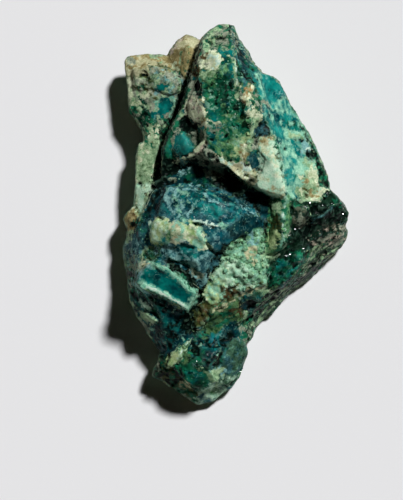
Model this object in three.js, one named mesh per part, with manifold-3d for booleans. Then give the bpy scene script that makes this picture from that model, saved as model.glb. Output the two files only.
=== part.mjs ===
// A dioptase specimen: one broken hand piece of copper silicate, lying on the flat fracture of its back.
// A pale ledge runs down the left side behind a deep crack. To its right stands a wedge of green crystals,
// with a sloping mint plate beyond it. Below them lie a blue dome, a flat teal window with raised edges,
// a granular mint patch, a dark glassy mass with a layered flank, and a rounded lobe at the foot.
// It all grew together, so it is one solid. Millimetres, +Z up, +Y along the specimen's length; the
// origin is on the resting face, under the middle of the outline.
import * as THREE from "three";
import { ConvexGeometry } from "three/addons/geometries/ConvexGeometry.js";
import { mergeVertices } from "three/addons/utils/BufferGeometryUtils.js";
import Module from "manifold-3d";

const LENGTH = 57.5; // from the foot of the lobe to the tip of the wedge; the whole stone follows it
const WALL_LEAN = 0.05; // a block's wall moves out this far for each millimetre down
const FOOT_Z = -1; // blocks run on below the resting face, and the underside trims them
const LID_Z = 24; // above every block
const FACET_EDGE = 2.2; // longest edge of a fracture facet
const FRACTURE_RELIEF = 0.3; // how far the broken surface wanders from a plane, at most
const FRACTURE_GRAIN = 0.45; // hollows and bumps of that relief per millimetre
const UNDERSIDE_EDGE = 3.6;
const UNDERSIDE_RELIEF = 0.7;
const WAIST_ROOM = 0.25; // the waist stands this far outside the blocks' rims
const SEAT_DEPTH = 0.55; // share of a crystal's radius that is sunk in the stone
const SLIVER = 0.01; // faces lower than this are slivers
const ROCK_WEAR = 0.12; // facets within this of one plane run together
const CRYSTAL_WEAR = 0.02;
const STONE_COLOUR = 0x2f6f62;
const UP = new THREE.Vector3(0, 0, 1);

const wasm = await Module();
wasm.setup();

// The blocks that broke and grew together. A rim lists a block's corners [x, y, z], anticlockwise from
// above. Its top is a fan up to the peak, or a plain cover where it has no peak, and its walls drop from
// the rim. Where blocks overlap, the higher one shows.
const blocks = {
  bed: {
    rim: [[-15.2, 16.1, 4.8], [-13.3, 12.1, 5], [-14.3, 6.8, 5], [-15.2, 0.1, 4.6], [-16, -5.9, 4.2],
      [-14.6, -13.4, 3.8], [-11, -19.4, 3.2], [-11, -24.1, 3.4], [-5.3, -27.4, 1.6], [0.1, -23.2, 2.8],
      [1.9, -16, 3.4], [6.7, -11.5, 2.8], [12.1, -7, 2.8], [15.1, -3.1, 3.4], [15.4, 1.1, 5.2],
      [12.7, 5.3, 6.6], [9.4, 12.8, 7.8], [5.8, 18.8, 8.4], [0.7, 24.8, 8.2], [-2, 27.7, 6.6],
      [-5.6, 25.4, 6.6], [-10.6, 23.6, 4.8], [-15.8, 23, 4.2]],
    peak: [-3.1, 2.3, 7.4],
  },
  creamSlab: {
    rim: [[-16.4, 20.3, 5.8], [-16, 17.9, 5.8], [-15.8, 15.7, 5.9], [-14.9, 14.5, 6],
      [-13.9, 12.8, 6.2], [-13.4, 11.2, 6.6], [-11.6, 11.6, 7.2], [-10.1, 13.7, 7.8],
      [-8.8, 16.4, 8.4], [-8.2, 18.8, 8.6], [-7.4, 21.2, 8.6], [-8.6, 23, 7.6], [-10, 23.8, 6.4],
      [-11.3, 24.2, 6], [-14, 24.2, 5.6], [-16.1, 24, 5.4], [-16.6, 23.3, 5.6]],
    peak: [-12.5, 19.7, 8],
  },
  slabStep: {
    rim: [[-14.9, 19.4, 7.4], [-12.1, 18.8, 8.2], [-9.7, 17.9, 8.8], [-8.3, 18.5, 9],
      [-8.3, 20.3, 9.2], [-9.8, 21.8, 8.6], [-12.8, 22.4, 7.8], [-15.5, 22, 7.2]],
    peak: [-10.6, 20.2, 9.2],
  },
  knob: {
    rim: [[-9.2, 22.4, 8], [-8.3, 20.9, 8.7], [-7.4, 20.6, 9], [-6.7, 22.3, 8.8], [-5.8, 24.5, 8.4],
      [-5.2, 26, 7.8], [-5.8, 26.5, 7.4], [-6.8, 26.8, 6.8], [-7.4, 27.1, 6.4], [-8.5, 26.3, 6.8],
      [-9.2, 25.6, 6.9], [-9.8, 24.8, 6.8], [-10.1, 23.8, 6.6]],
    peak: [-7.4, 24.8, 9.4],
  },
  mintStrip: {
    rim: [[-13.7, 11, 6.4], [-14.5, 10.7, 6.2], [-14.9, 8, 6], [-15.1, 5.3, 6], [-15.1, 1.9, 5.8],
      [-15.7, 1.1, 5.6], [-15.8, 0.1, 5.6], [-14.3, -0.4, 6.8], [-13.4, 1.4, 7.4], [-13, 3.1, 7.6],
      [-12.4, 4.4, 7.6], [-12.5, 6.1, 7.5], [-11.9, 8.6, 7.6], [-11.2, 10.9, 7.6], [-10.9, 13.1, 7.6],
      [-12.4, 13.7, 7.4], [-13.7, 12.7, 6.4]],
  },
  ochreNub: {
    rim: [[-16.3, -1.9, 5], [-15.7, -2.3, 6], [-14.8, -1.6, 7], [-14.6, 0.1, 7], [-15.4, 1, 6],
      [-16.3, 0.4, 5.2], [-16.7, -0.5, 4.8]],
    peak: [-15.7, -0.7, 7],
  },
  wedgeRecess: {
    rim: [[-5.8, 23.9, 11.4], [-6.4, 22.1, 11.6], [-7.1, 19.7, 11.6], [-7.7, 17.6, 11.6],
      [-8.3, 15.5, 11.4], [-9.5, 13.6, 11.2], [-10.1, 11.8, 11], [-10.9, 9.8, 10.6], [-11.3, 5.6, 8.8],
      [-8.3, 5, 8.6], [-4.6, 5.3, 9], [-2, 7.1, 10.6], [-3.1, 8.9, 12], [-4.3, 11.8, 12.2],
      [-4.4, 18.8, 11.8], [-4.9, 24.8, 11.2]],
    peak: [-6.5, 13.6, 12],
  },
  tealLens: {
    rim: [[-9.5, 9.8, 10.8], [-8.5, 8.8, 11.2], [-6.8, 8.9, 11.8], [-6.4, 10.1, 12.4],
      [-7.1, 11.3, 12.4], [-8.2, 12.2, 11.9], [-9.1, 11.5, 11.2]],
    peak: [-7.7, 10.4, 12.7],
  },
  greyFibres: {
    rim: [[-5.5, 10.4, 13], [-6.8, 9.4, 12.2], [-8.6, 8.3, 10.8], [-7.1, 8, 10.6], [-5.3, 7.4, 10.6],
      [-3.5, 5.9, 10.2], [-1.7, 5.6, 10.4], [-1.1, 7.4, 12.6], [-3.2, 9.5, 13.8], [-4.6, 11.8, 13.6]],
    peak: [-4.4, 9.4, 13.2],
  },
  creamCap: {
    rim: [[-5.6, 23.9, 11.8], [-5.9, 22.1, 12.4], [-5.6, 20.9, 13], [-4.6, 20.3, 13.8],
      [-2.9, 20.9, 14.4], [-0.7, 20.9, 14.8], [-0.1, 22.7, 14.4], [-0.2, 24.8, 13.6],
      [-0.5, 27.2, 11.4], [-1.1, 28.6, 9], [-2.6, 28.6, 8.8], [-3.8, 27.7, 9.4], [-4.7, 26.8, 10.2],
      [-5.2, 25.7, 11]],
    peak: [-2.9, 23.6, 14],
  },
  brownLedge: {
    rim: [[-5.9, 23.6, 11.6], [-6.5, 21.8, 11.8], [-6.2, 21.2, 12.2], [-5.5, 21.5, 13],
      [-4.9, 23, 13.2], [-4.4, 24.5, 12.8], [-4.9, 26, 11.4]],
    peak: [-5.5, 23, 13.1],
  },
  creamRibLeft: {
    rim: [[-6.2, 19.4, 12.6], [-6.2, 18.4, 12.8], [-6.5, 18.1, 12.8], [-7.1, 16.7, 12.6],
      [-6.8, 14.8, 12.6], [-5.9, 13.7, 13], [-4.9, 12.4, 13.6], [-4.3, 11.6, 14.4], [-4.4, 13.6, 14.9],
      [-4.3, 15.5, 14.8], [-4.6, 17.8, 14.4], [-4.6, 19.4, 14], [-5.5, 20.6, 13.2]],
    peak: [-5.3, 16.4, 14.5],
  },
  greenFace: {
    rim: [[-4.9, 18.1, 14.4], [-4.6, 16.1, 14.6], [-4.6, 13.1, 14.6], [-4.3, 10.9, 14],
      [-2.9, 8.9, 13.8], [-1.1, 7.6, 13.8], [0.4, 7.4, 14.2], [1.7, 8, 14.8], [2.5, 10.4, 15.6],
      [2.8, 13.4, 16.2], [2.2, 15.5, 16.6], [0.5, 17.6, 16.4], [0.2, 21.2, 15.8], [-0.5, 22.7, 15.2],
      [-2.6, 21.8, 14.8], [-4.7, 20.3, 13.8]],
    peak: [-1.4, 15.8, 15.7],
  },
  slateStrip: {
    rim: [[-0.8, 27.2, 11.2], [-0.4, 25.7, 13.2], [0.1, 23.3, 15], [0.4, 20.6, 15.9],
      [1.9, 19.7, 15.4], [3.4, 19.7, 14.4], [3.7, 21.2, 12.6], [3.1, 22, 12.2], [2.2, 23, 11.8],
      [1.8, 23.9, 11.6], [1.3, 24.8, 11.2], [0.7, 25.9, 10.6], [0.3, 26.3, 10.2], [0, 27.4, 9.4],
      [-0.2, 28.3, 9], [-1, 28.6, 9]],
    peak: [1, 22.4, 14.2],
  },
  tanVein: {
    rim: [[0.7, 17.2, 16.8], [1.7, 16.1, 16.9], [2, 14.3, 16.8], [2.3, 12.5, 16.2], [3.1, 13.4, 15.6],
      [3.5, 14.6, 15.6], [3.5, 16.1, 15.6], [2.5, 17.8, 15.8], [2.8, 19.1, 15.6], [1.9, 20, 16],
      [0.4, 20, 16]],
    peak: [1.7, 16.7, 17.3],
  },
  rightShoulder: {
    rim: [[2.5, 19.7, 15], [2.2, 18.1, 15.4], [3.1, 15.5, 15.4], [2.5, 12.8, 14.8], [2.2, 9.8, 14.2],
      [1.9, 6.8, 13.6], [2.2, 4.9, 13], [3.4, 4, 13], [4.9, 3.4, 13.2], [6.7, 2.6, 13.2],
      [7.4, 3.1, 13.4], [7, 6.1, 14], [6.7, 9.1, 14.4], [6.1, 11.3, 14.6], [5, 13.7, 14.5],
      [4.7, 16.1, 14.4], [4.1, 18.5, 14], [3.4, 20.3, 13.4]],
  },
  mintLeft: {
    rim: [[3.5, 9.5, 14.6], [4.3, 8.3, 14.6], [4, 6.8, 14.2], [3.1, 5.6, 13.8], [3.4, 4.1, 13.5],
      [5.6, 3.1, 13.7], [7, 2.8, 13.8], [7.3, 4.1, 14.1], [6.8, 6.8, 14.6], [6.5, 9.4, 14.9],
      [5.9, 10.9, 15], [5, 11.8, 14.9], [4.1, 11.6, 14.8], [3.5, 11, 14.6]],
    peak: [5.2, 7.6, 15.1],
  },
  wedgeLip: {
    rim: [[-0.7, 6.5, 12.4], [0.4, 5.6, 12.4], [1.9, 4.7, 12.6], [3.5, 4, 13], [3.4, 5.3, 13.8],
      [2.5, 6.5, 14], [1.7, 8.3, 14.6], [-1.1, 7.7, 13.8]],
    peak: [1.1, 6.7, 14],
  },
  plate: {
    rim: [[4, 18.8, 13.4], [4.6, 16.7, 13.8], [5, 13.4, 14], [5.9, 11.3, 14.2], [6.7, 8.9, 14.4],
      [7, 5.6, 14.2], [7.4, 2.9, 13.4], [8.8, 2.8, 11.8], [10.6, 2.5, 10.6], [12.4, 2.3, 9.6],
      [13.6, 3.2, 9.2], [13.7, 4.1, 9.2], [12.2, 5, 9.8], [12.1, 7.1, 10.2], [11.3, 8.9, 10.4],
      [11, 10.4, 10.4], [10.4, 12.2, 10.2], [9.7, 14, 9.6], [8.8, 15.2, 9.8], [8.2, 16.1, 10],
      [7.4, 17.9, 10.2], [7, 19, 10.2], [6.5, 19.9, 10.4], [5.6, 20.6, 11], [4.7, 20.9, 11.4],
      [3.8, 21.1, 12.2], [3.4, 20.8, 12.6]],
    peak: [9.1, 5.6, 12.2],
  },
  plateRim: {
    rim: [[10.1, 12.2, 10], [11, 9.8, 10.2], [11.8, 7.1, 10], [12.4, 4.7, 9.6], [13.9, 4.3, 8.2],
      [13.7, 5.6, 8.4], [13.3, 6.8, 8.5], [12.7, 7.9, 8.6], [12.1, 9.5, 8.8], [11.3, 11.3, 8.9],
      [10.7, 12.7, 9], [10.1, 13.7, 9.2], [9.7, 14, 9.4]],
    peak: [11.6, 8.9, 9.6],
  },
  glassMass: {
    rim: [[7.7, 0.8, 12], [7.4, -2.2, 11.8], [6.5, -5.2, 11], [4.9, -6.4, 10], [4.3, -8.2, 9.4],
      [4.6, -11.2, 8.4], [6.7, -10.6, 7.8], [8.5, -9.1, 7.6], [10.1, -7, 7.4], [11.5, -5, 7.4],
      [13.4, -3.7, 7], [15.7, -2.5, 6.6], [16.7, -0.8, 6.2], [16.9, 0.4, 6.2], [16.4, 1.4, 6.8],
      [15.4, 2.8, 7.6], [13.9, 4, 8.6], [12.1, 2.3, 10.2], [9.7, 2.6, 11.2], [7.6, 2.9, 11.8]],
    peak: [9.7, -3.7, 10],
  },
  glintFacet: {
    rim: [[8.6, -0.4, 11.8], [9.1, -2, 11], [10.4, -1.4, 10.9], [11.3, -0.1, 11.3], [10.9, 1.1, 11.9],
      [9.7, 1.7, 12.2], [8.5, 1.4, 12]],
    peak: [9.8, 0.2, 12.6],
  },
  glassRidge: {
    rim: [[11.2, -2.5, 9.6], [12.7, -2.2, 8.6], [15.1, -0.7, 8], [16.6, 0.5, 7.2], [15.7, 2, 8.6],
      [14.2, 1.4, 10], [11.3, -1, 10.6]],
    peak: [13.6, 0.5, 10.4],
  },
  flankUpper: {
    rim: [[16.6, -1.6, 5.4], [15.7, -2.3, 6.4], [13.6, -3.7, 7], [11.5, -5, 7.4], [10.1, -7, 7.4],
      [8.5, -9.1, 7.6], [6.7, -10.6, 7.6], [4, -12.1, 7.2], [2.5, -13.9, 5.4], [4, -14.5, 3.8],
      [5.8, -13.3, 3.6], [7.3, -11.8, 3.6], [9.1, -10.1, 3.6], [11.2, -8.5, 3.4], [13.3, -7, 3.2],
      [14.2, -6.1, 3.4], [16, -4.6, 3.4], [16.9, -3.1, 3.8], [16.9, -2.3, 4.6]],
  },
  flankLower: {
    rim: [[15.7, -4.3, 4.2], [13.3, -6.4, 4.6], [10.3, -8.8, 4.8], [7.3, -11.2, 4.8],
      [4.9, -13.3, 4.6], [2.8, -14.8, 5], [1.6, -16.6, 5.2], [1.1, -18.4, 4.2], [1.9, -19, 3],
      [2.5, -18.5, 2.6], [2.8, -17.5, 2.4], [3.1, -16.6, 2.2], [3.8, -16, 2], [4.6, -15.2, 1.8],
      [5.6, -14.6, 1.6], [6.5, -13.7, 1.6], [7.4, -12.5, 1.5], [8.3, -11.6, 1.4], [9.2, -10.9, 1.4],
      [10.4, -10.1, 1.4], [11.5, -9.2, 1.4], [12.4, -8.5, 1.4], [13.1, -7.9, 1.4], [13.3, -7, 1.6],
      [13.9, -6.4, 1.6], [15.1, -5.5, 1.6], [15.8, -4.7, 1.8], [16.7, -3.4, 2.6]],
  },
  rib: {
    rim: [[5.3, -1, 11.2], [5, -3.4, 10.8], [4.3, -4.9, 10.2], [4.6, -5.8, 10.4], [6.1, -5.5, 11.2],
      [7.3, -4.4, 12], [7.9, -2.2, 12.6], [8, 0.8, 12.8], [7.6, 2.8, 13], [6.4, 2.5, 12.4],
      [5.2, 1.9, 11.4]],
    peak: [6.8, -1, 13.2],
  },
  darkRecess: {
    rim: [[-10.6, 3.5, 9.2], [-5.3, 3.2, 9.6], [-0.1, 1.6, 9.4], [2.2, -2.2, 8.6], [2.9, -5.2, 7.6],
      [4.3, -5.2, 7.6], [5.5, -1.4, 8], [5.5, 2.3, 8.8], [4, 3.5, 9], [0.7, 4.9, 9.2],
      [-3.1, 5.9, 9.4], [-6.8, 6.8, 9.6], [-10.9, 5.9, 9.4], [-12.5, 4.7, 9]],
  },
  dome: {
    rim: [[-11.8, 4.1, 9.4], [-12.7, 3.1, 8.8], [-13.4, 1.1, 8.6], [-14.6, -1, 8.2],
      [-14.6, -3.1, 8.6], [-13.7, -4.9, 9.4], [-12.5, -6.7, 10.4], [-10.1, -7.4, 11], [-8, -8.5, 10.8],
      [-5.9, -10.4, 10.2], [-4.6, -11.5, 9.6], [-2.9, -9.1, 10.2], [-1.4, -7, 10.6],
      [-0.1, -5.2, 10.8], [1.9, -3.7, 10.6], [4, -1.9, 9.6], [4, -0.8, 10], [2.8, 0.8, 11],
      [1.1, 2, 11.6], [-1.6, 3.2, 11.8], [-4.6, 4, 11.8], [-8, 4.3, 11.4], [-10.6, 4.3, 10.6]],
    peak: [-4.6, -1.6, 14.6],
  },
  domeTeal: {
    rim: [[-11.2, 1.9, 10.8], [-11.6, 0.1, 11.2], [-10.1, -0.7, 13], [-8, -0.7, 14.4],
      [-5.8, -1, 14.8], [-3.1, -1.6, 14.6], [-0.5, -1.4, 13.8], [1.1, 0.4, 12.6], [0.7, 1.4, 12.2],
      [-1.4, 2.3, 12.4], [-4.4, 3.4, 12.2], [-8, 4, 11.6], [-10.4, 3.5, 11]],
    peak: [-5.3, 0.7, 13.9],
  },
  domeCream: {
    rim: [[-12.5, -3.7, 11.4], [-11.3, -4, 12.4], [-9.5, -4.9, 13.2], [-7.7, -4.1, 14.2],
      [-5.9, -5, 13.8], [-4, -5.2, 13.2], [-5, -3.1, 14.6], [-6.2, -1.4, 15], [-7.7, -1, 14.6],
      [-9.8, -0.8, 13.6], [-11.8, -0.8, 12.4], [-12.7, -1.9, 11.8]],
    peak: [-8.3, -2.6, 14.9],
  },
  domeNavy: {
    rim: [[-4.3, -3.7, 14.2], [-3.2, -5.2, 13.2], [-1.1, -6.1, 11.4], [0.4, -4.3, 11.4],
      [2.5, -2.8, 10.8], [4, -1, 10.6], [3.1, 0.4, 11.4], [1.1, 0.2, 12.8], [-0.5, -1.7, 13.9],
      [-3.1, -1.9, 14.4]],
    peak: [-0.8, -2.8, 13.6],
  },
  domeSlate: {
    rim: [[-9.5, -6.4, 12.2], [-7.7, -7.6, 11.6], [-5.9, -9.4, 10.6], [-4.6, -10.3, 10.2],
      [-3.5, -8.8, 10.6], [-2.3, -7, 11], [-3.5, -5.5, 12.8], [-5.9, -5.2, 13.8], [-8.3, -5.5, 13.2]],
    peak: [-5.6, -7, 13.2],
  },
  leftMargin: {
    rim: [[-16.9, -6.1, 4.4], [-16.6, -7.3, 4.6], [-16.2, -9.1, 5], [-16.1, -10.6, 5.4],
      [-14.9, -10.3, 9.2], [-14.3, -8.8, 9.6], [-12.8, -7, 9.8], [-13.4, -4.9, 9.2],
      [-14.3, -2.8, 8.6], [-14.9, -1, 7.4], [-16.1, -2.3, 5.4], [-16.3, -3.5, 5], [-16.9, -4.7, 4.6]],
    peak: [-14.6, -5.8, 8.6],
  },
  window: {
    rim: [[-13.9, -10.7, 10.8], [-12.5, -11.2, 11], [-9.8, -12.7, 11.1], [-7.1, -14.2, 11],
      [-6.4, -12.7, 11.7], [-5.8, -11.5, 12.1], [-6.8, -11.2, 12.2], [-8, -10.3, 12.2],
      [-9.4, -8.8, 12.4], [-10.9, -7.9, 12.3], [-12.2, -7.1, 12.2], [-13.3, -7.7, 11.9],
      [-14.5, -9.1, 11.2], [-14.8, -10.3, 10.8]],
    peak: [-10.4, -10.4, 11.78],
  },
  leftFlank: {
    rim: [[-16.4, -10.6, 4.8], [-16.3, -11.8, 4.4], [-15.8, -12.8, 4.2], [-15.4, -14.2, 4],
      [-14.8, -15.4, 3.8], [-13.9, -16.6, 3.6], [-13.3, -17.8, 3.4], [-12.7, -18.8, 3.4],
      [-11.8, -20, 3.6], [-10.1, -20.5, 5.6], [-8, -19, 7.2], [-6.8, -17.5, 7.6], [-6.5, -15.4, 8.6],
      [-7.1, -14.2, 10.4], [-9.8, -12.7, 10.6], [-12.8, -11.2, 10.4], [-14.8, -10.3, 9.8],
      [-15.7, -9.4, 7]],
    peak: [-11.3, -14.5, 9],
  },
  flankScab: {
    rim: [[-13.7, -15.4, 6.2], [-13, -15.8, 6.8], [-12.1, -16.3, 7.6], [-11.6, -16, 8.4],
      [-12.8, -14.9, 8.2], [-14, -14.5, 7]],
    peak: [-12.8, -15.4, 8.3],
  },
  windowLowerRim: {
    rim: [[-13.9, -11, 11.2], [-10.4, -12.5, 11.4], [-7.1, -14.2, 11.3], [-7, -13.6, 11.5],
      [-10.4, -11.8, 11.6], [-13.7, -10.1, 11.6], [-14.3, -10.6, 11.3]],
  },
  windowUpperRim: {
    rim: [[-11.3, -8.2, 12.4], [-9.8, -9.1, 12.4], [-8.2, -10.7, 12.3], [-6.7, -11.8, 12.1],
      [-7.1, -13, 11.7], [-7, -13.6, 11.6], [-6.4, -12.7, 12], [-5.8, -11.5, 12.4],
      [-6.8, -10.9, 12.5], [-8.6, -9.1, 12.7], [-10.1, -7.9, 12.7], [-11.6, -7.4, 12.6],
      [-12.5, -7.3, 12.3]],
  },
  granularPatch: {
    rim: [[1.7, -4, 11], [-0.1, -5.2, 10.8], [-1.4, -7.3, 10.4], [-2.8, -9.4, 9.8], [-4.1, -10.6, 9.4],
      [-4.9, -12.7, 8.8], [-6.1, -15.7, 7.8], [-5.5, -17.2, 7.8], [-4, -15.1, 8.4], [-2, -13.3, 8.8],
      [0.1, -12.1, 9], [2.2, -11, 9.4], [4.7, -10.1, 9.8], [4.4, -7, 10.4], [4.1, -4.4, 10.6],
      [4, -2.3, 10.8], [3.1, -2.2, 10.8]],
    peak: [0.7, -7.6, 11.4],
  },
  oliveShelf: {
    rim: [[1.3, -11.6, 9], [-2, -13.3, 8.6], [-4.7, -15.7, 8], [-5.9, -17.5, 6.8], [-4.4, -18.4, 6.2],
      [-2, -17.5, 6.4], [0.1, -16.6, 6.2], [1.6, -15.4, 5.8], [4, -13.6, 6], [5.2, -11.8, 7.4],
      [4.7, -10.3, 9.2]],
    peak: [-0.5, -13.9, 8.4],
  },
  lobe: {
    rim: [[-8.6, -19.3, 6.4], [-9.8, -20.2, 6], [-11.5, -20.8, 5.2], [-11.6, -21.8, 5.6],
      [-12.1, -22.7, 5.2], [-12.5, -23.8, 4.6], [-12.4, -24.4, 4.4], [-11.6, -24.7, 4],
      [-10.1, -25.6, 3.4], [-8, -27.1, 2.6], [-6.4, -28.3, 2], [-5.6, -28.7, 1.8], [-4.6, -28.4, 1.8],
      [-3.4, -28, 1.8], [-2.6, -27.4, 2], [-1.6, -26.6, 2.2], [-0.8, -26.2, 2.2], [-0.1, -25.3, 2.4],
      [0.5, -24.4, 2.6], [1, -23.2, 3], [1.4, -22, 3.4], [1.8, -20.8, 3.8], [1.7, -19.9, 4],
      [1.4, -19.2, 4.2], [2.3, -18.7, 3.2], [2.5, -17.8, 3.6], [1.6, -16.9, 5], [0.1, -16, 6.4],
      [-2, -16.6, 7], [-4.6, -17.8, 7], [-6.5, -17.6, 6.8], [-7.7, -18.4, 6.6]],
    peak: [-5.3, -21.4, 8.4],
  },
  lobeCore: {
    rim: [[-8.3, -20.2, 7.2], [-9.5, -22.3, 7.2], [-8.3, -24.1, 7.4], [-6.5, -25.6, 6.6],
      [-4.6, -26.2, 6.2], [-2.9, -24.7, 7.6], [-4.1, -22.9, 9], [-2.6, -21.4, 8.8], [-2, -19.6, 8.2],
      [-3.8, -18.1, 7.6], [-6.8, -18.7, 7.2]],
    peak: [-5.3, -22, 9.4],
  },
  lobeSlate: {
    rim: [[-1.6, -19.6, 7.2], [-2.3, -21.4, 7.6], [-3.5, -23.2, 7.6], [-2.9, -25, 6],
      [-1.4, -25.6, 4.4], [0.2, -24.1, 4], [1, -22.3, 4.4], [1.6, -20.5, 4.8], [1.3, -19.1, 5.2],
      [0.4, -18.4, 6.2], [-1.1, -18.4, 6.6]],
    peak: [-0.7, -21.4, 7],
  },
  paleBlades: {
    rim: [[-8.5, -19.3, 7.8], [-9.7, -20.8, 7.6], [-10.3, -22.4, 7.2], [-9.5, -22.6, 7.8],
      [-8.3, -21.4, 8.6], [-7.3, -20, 8.8], [-6.7, -18.7, 8.2], [-7.1, -18.4, 8]],
    peak: [-8.5, -20.6, 8.9],
  },
};
const smoothBlocks = ["window"]; // a clean cleavage face, with no fracture relief

// The underside: the flat resting fracture, and the widest outline, up to which its slopes rise.
const restingFace = [
  [-12.9, 14.0], [-9.5, 20.5], [-2.5, 22.5], [3.0, 17.0], [7.5, 8.0], [11.5, 1.0], [11.0, -3.5],
  [5.5, -10.0], [-1.0, -17.5], [-5.5, -23.5], [-9.5, -21.5], [-12.0, -13.0], [-13.6, -6.0], [-13.2, 4.0],
];
const waist = [
  [-16.6, 23.6, 4.0], [-11.3, 24.6, 4.2], [-7.4, 27.3, 5.0], [-2.0, 28.9, 6.0], [0.2, 28.4, 6.5],
  [7.3, 19.1, 6.5], [14.2, 5.3, 5.0], [17.1, 0.6, 4.0], [17.1, -3.4, 2.2], [13.3, -7.4, 0.9],
  [7.4, -12.8, 0.8], [4.0, -16.0, 1.0], [2.6, -19.2, 1.5], [0.8, -24.6, 1.4], [-1.7, -26.9, 1.2],
  [-5.3, -28.9, 1.2], [-10.6, -25.5, 2.2], [-12.7, -24.2, 3.0], [-15.4, -14.5, 2.8], [-17.0, -5.2, 3.2],
  [-16.8, 0.2, 3.6], [-16.5, 17.4, 3.8],
];

// Pits and vugs: the middle of each hollow, its radius, and its depth as a share of the radius.
const pits = [
  { at: [-13.7, 21.0, 7.7], radius: 0.8, depth: 0.7 }, // under the ledge's upper band
  { at: [-14.2, 19.3, 7.5], radius: 0.6, depth: 0.7 },
  { at: [-14.6, 4.7, 6.6], radius: 0.6, depth: 0.8 }, // on the mint strip
  { at: [-3.8, 25.8, 12.4], radius: 0.5, depth: 0.8 }, // on the wedge's cap
  { at: [-5.9, 19.1, 13.0], radius: 0.8, depth: 1.1 }, // behind the left rib
  { at: [-7.4, 13.3, 12.3], radius: 1.4, depth: 1.0 }, // the dark vug above the teal lens
  { at: [-6.1, 12.3, 12.7], radius: 0.8, depth: 0.9 },
  { at: [3.3, 12.6, 15.4], radius: 1.0, depth: 0.9 }, // notches above the mint face
  { at: [2.9, 8.6, 15.0], radius: 0.9, depth: 0.9 },
  { at: [1.8, -13.6, 7.4], radius: 1.3, depth: 0.9 }, // under the granular patch
  { at: [-8.3, -7.6, 11.9], radius: 0.9, depth: 0.7 }, // on the dome's lower edge
  { at: [-6.5, -16.3, 8.0], radius: 1.0, depth: 0.8 }, // at the window's foot
];

// Clusters of crystals, part sunk in the block they grow on: stubby six-sided prisms under three-faced
// tips. The stand is the height of the prism's shoulder over its seat, as a share of its radius.
const clusters = [
  { on: "granularPatch", count: 58, radius: [0.4, 0.75], stand: 0.2, tilt: 0.9, seed: 11 },
  { on: "glassMass", count: 14, radius: [0.8, 1.5], stand: -0.25, tilt: 0.7, seed: 23 },
  { on: "greenFace", count: 24, radius: [0.6, 1.2], stand: -0.3, tilt: 0.8, seed: 37 },
];

// ---- chance and noise, the same on every run

function hash(x, y, z, seed) {
  let h = Math.imul(x, 374761393) ^ Math.imul(y, 668265263) ^ Math.imul(z, 2147483647 - 1274126177);
  h = Math.imul(h ^ Math.imul(seed, 974634777), 1103515245);
  h = Math.imul(h ^ (h >>> 15), 2246822519);
  h = Math.imul(h ^ (h >>> 13), 3266489917);
  return ((h ^ (h >>> 16)) >>> 0) / 4294967296;
}

function chance(seed) {
  let draw = 0;
  return (low = 0, high = 1) => {
    draw += 1;
    return low + (high - low) * hash(draw, 17, 5, seed);
  };
}

function noise([x, y, z], seed) {
  const cell = [x, y, z].map(Math.floor);
  const ease = [x, y, z].map((value, axis) => THREE.MathUtils.smoothstep(value - cell[axis], 0, 1));
  let sum = 0;
  for (let corner = 0; corner < 8; corner++) {
    const step = [corner & 1, (corner >> 1) & 1, corner >> 2];
    const weight = step.reduce((product, s, axis) => product * (s ? ease[axis] : 1 - ease[axis]), 1);
    sum += weight * hash(cell[0] + step[0], cell[1] + step[1], cell[2] + step[2], seed);
  }
  return 2 * sum - 1;
}

// A smooth push of up to `amount` in every direction, made of a broad swell and a finer one.
function fracturePush(point, amount) {
  const broad = point.map((value) => value * FRACTURE_GRAIN);
  const fine = point.map((value) => value * FRACTURE_GRAIN * 2.2);
  return [1, 2, 3].map((seed) => amount * (0.65 * noise(broad, seed) + 0.35 * noise(fine, seed + 10)));
}

// ---- meshes: { points: [[x, y, z]], faces: [[a, b, c]] }, closed, with the faces pointing out

function inThrees(numbers) {
  return Array.from({ length: numbers.length / 3 }, (_, i) => [...numbers.subarray(3 * i, 3 * i + 3)]);
}

function meshOf(geometry) {
  geometry.deleteAttribute("normal");
  geometry.deleteAttribute("uv");
  const merged = mergeVertices(geometry, 1e-5);
  const position = merged.getAttribute("position");
  return { points: inThrees(position.array), faces: inThrees(merged.getIndex().array) };
}

function solidOf({ points, faces }) {
  const vertProperties = new Float32Array(points.flat());
  const triVerts = new Uint32Array(faces.flat());
  return new wasm.Manifold(new wasm.Mesh({ numProp: 3, vertProperties, triVerts }));
}

// Halves every edge longer than the limit, again and again; neighbours share the new points.
function refined({ points, faces }, limit) {
  const allPoints = [...points];
  let work = faces;
  for (let round = 0; round < 8; round++) {
    const halves = new Map();
    const half = (a, b) => {
      const key = a < b ? `${a} ${b}` : `${b} ${a}`;
      if (!halves.has(key)) {
        const middle = allPoints[a].map((value, axis) => (value + allPoints[b][axis]) / 2);
        const isLong = Math.hypot(...allPoints[a].map((value, axis) => value - allPoints[b][axis])) > limit;
        halves.set(key, isLong ? allPoints.push(middle) - 1 : -1);
      }
      return halves.get(key);
    };
    work = work.flatMap(([a, b, c]) => splitFace([a, b, c], [half(a, b), half(b, c), half(c, a)]));
    if (![...halves.values()].some((made) => made >= 0)) break;
  }
  return { points: allPoints, faces: work };
}

// Splits one face at the middles of its edges; -1 says that an edge stays whole.
function splitFace(corners, middles) {
  const cuts = middles.filter((middle) => middle >= 0).length;
  if (cuts === 0) return [corners];
  if (cuts === 3) {
    const [a, b, c] = corners;
    const [ab, bc, ca] = middles;
    return [[a, ab, ca], [ab, b, bc], [ca, bc, c], [ab, bc, ca]];
  }
  // turn the face until its cut edge comes first, or its whole edge last
  const first = cuts === 1 ? middles.findIndex((m) => m >= 0) : (middles.findIndex((m) => m < 0) + 1) % 3;
  const [a, b, c] = [0, 1, 2].map((i) => corners[(first + i) % 3]);
  const [ab, bc] = [0, 1].map((i) => middles[(first + i) % 3]);
  return cuts === 1 ? [[a, ab, c], [ab, b, c]] : [[a, ab, c], [ab, bc, c], [ab, b, bc]];
}

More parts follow.
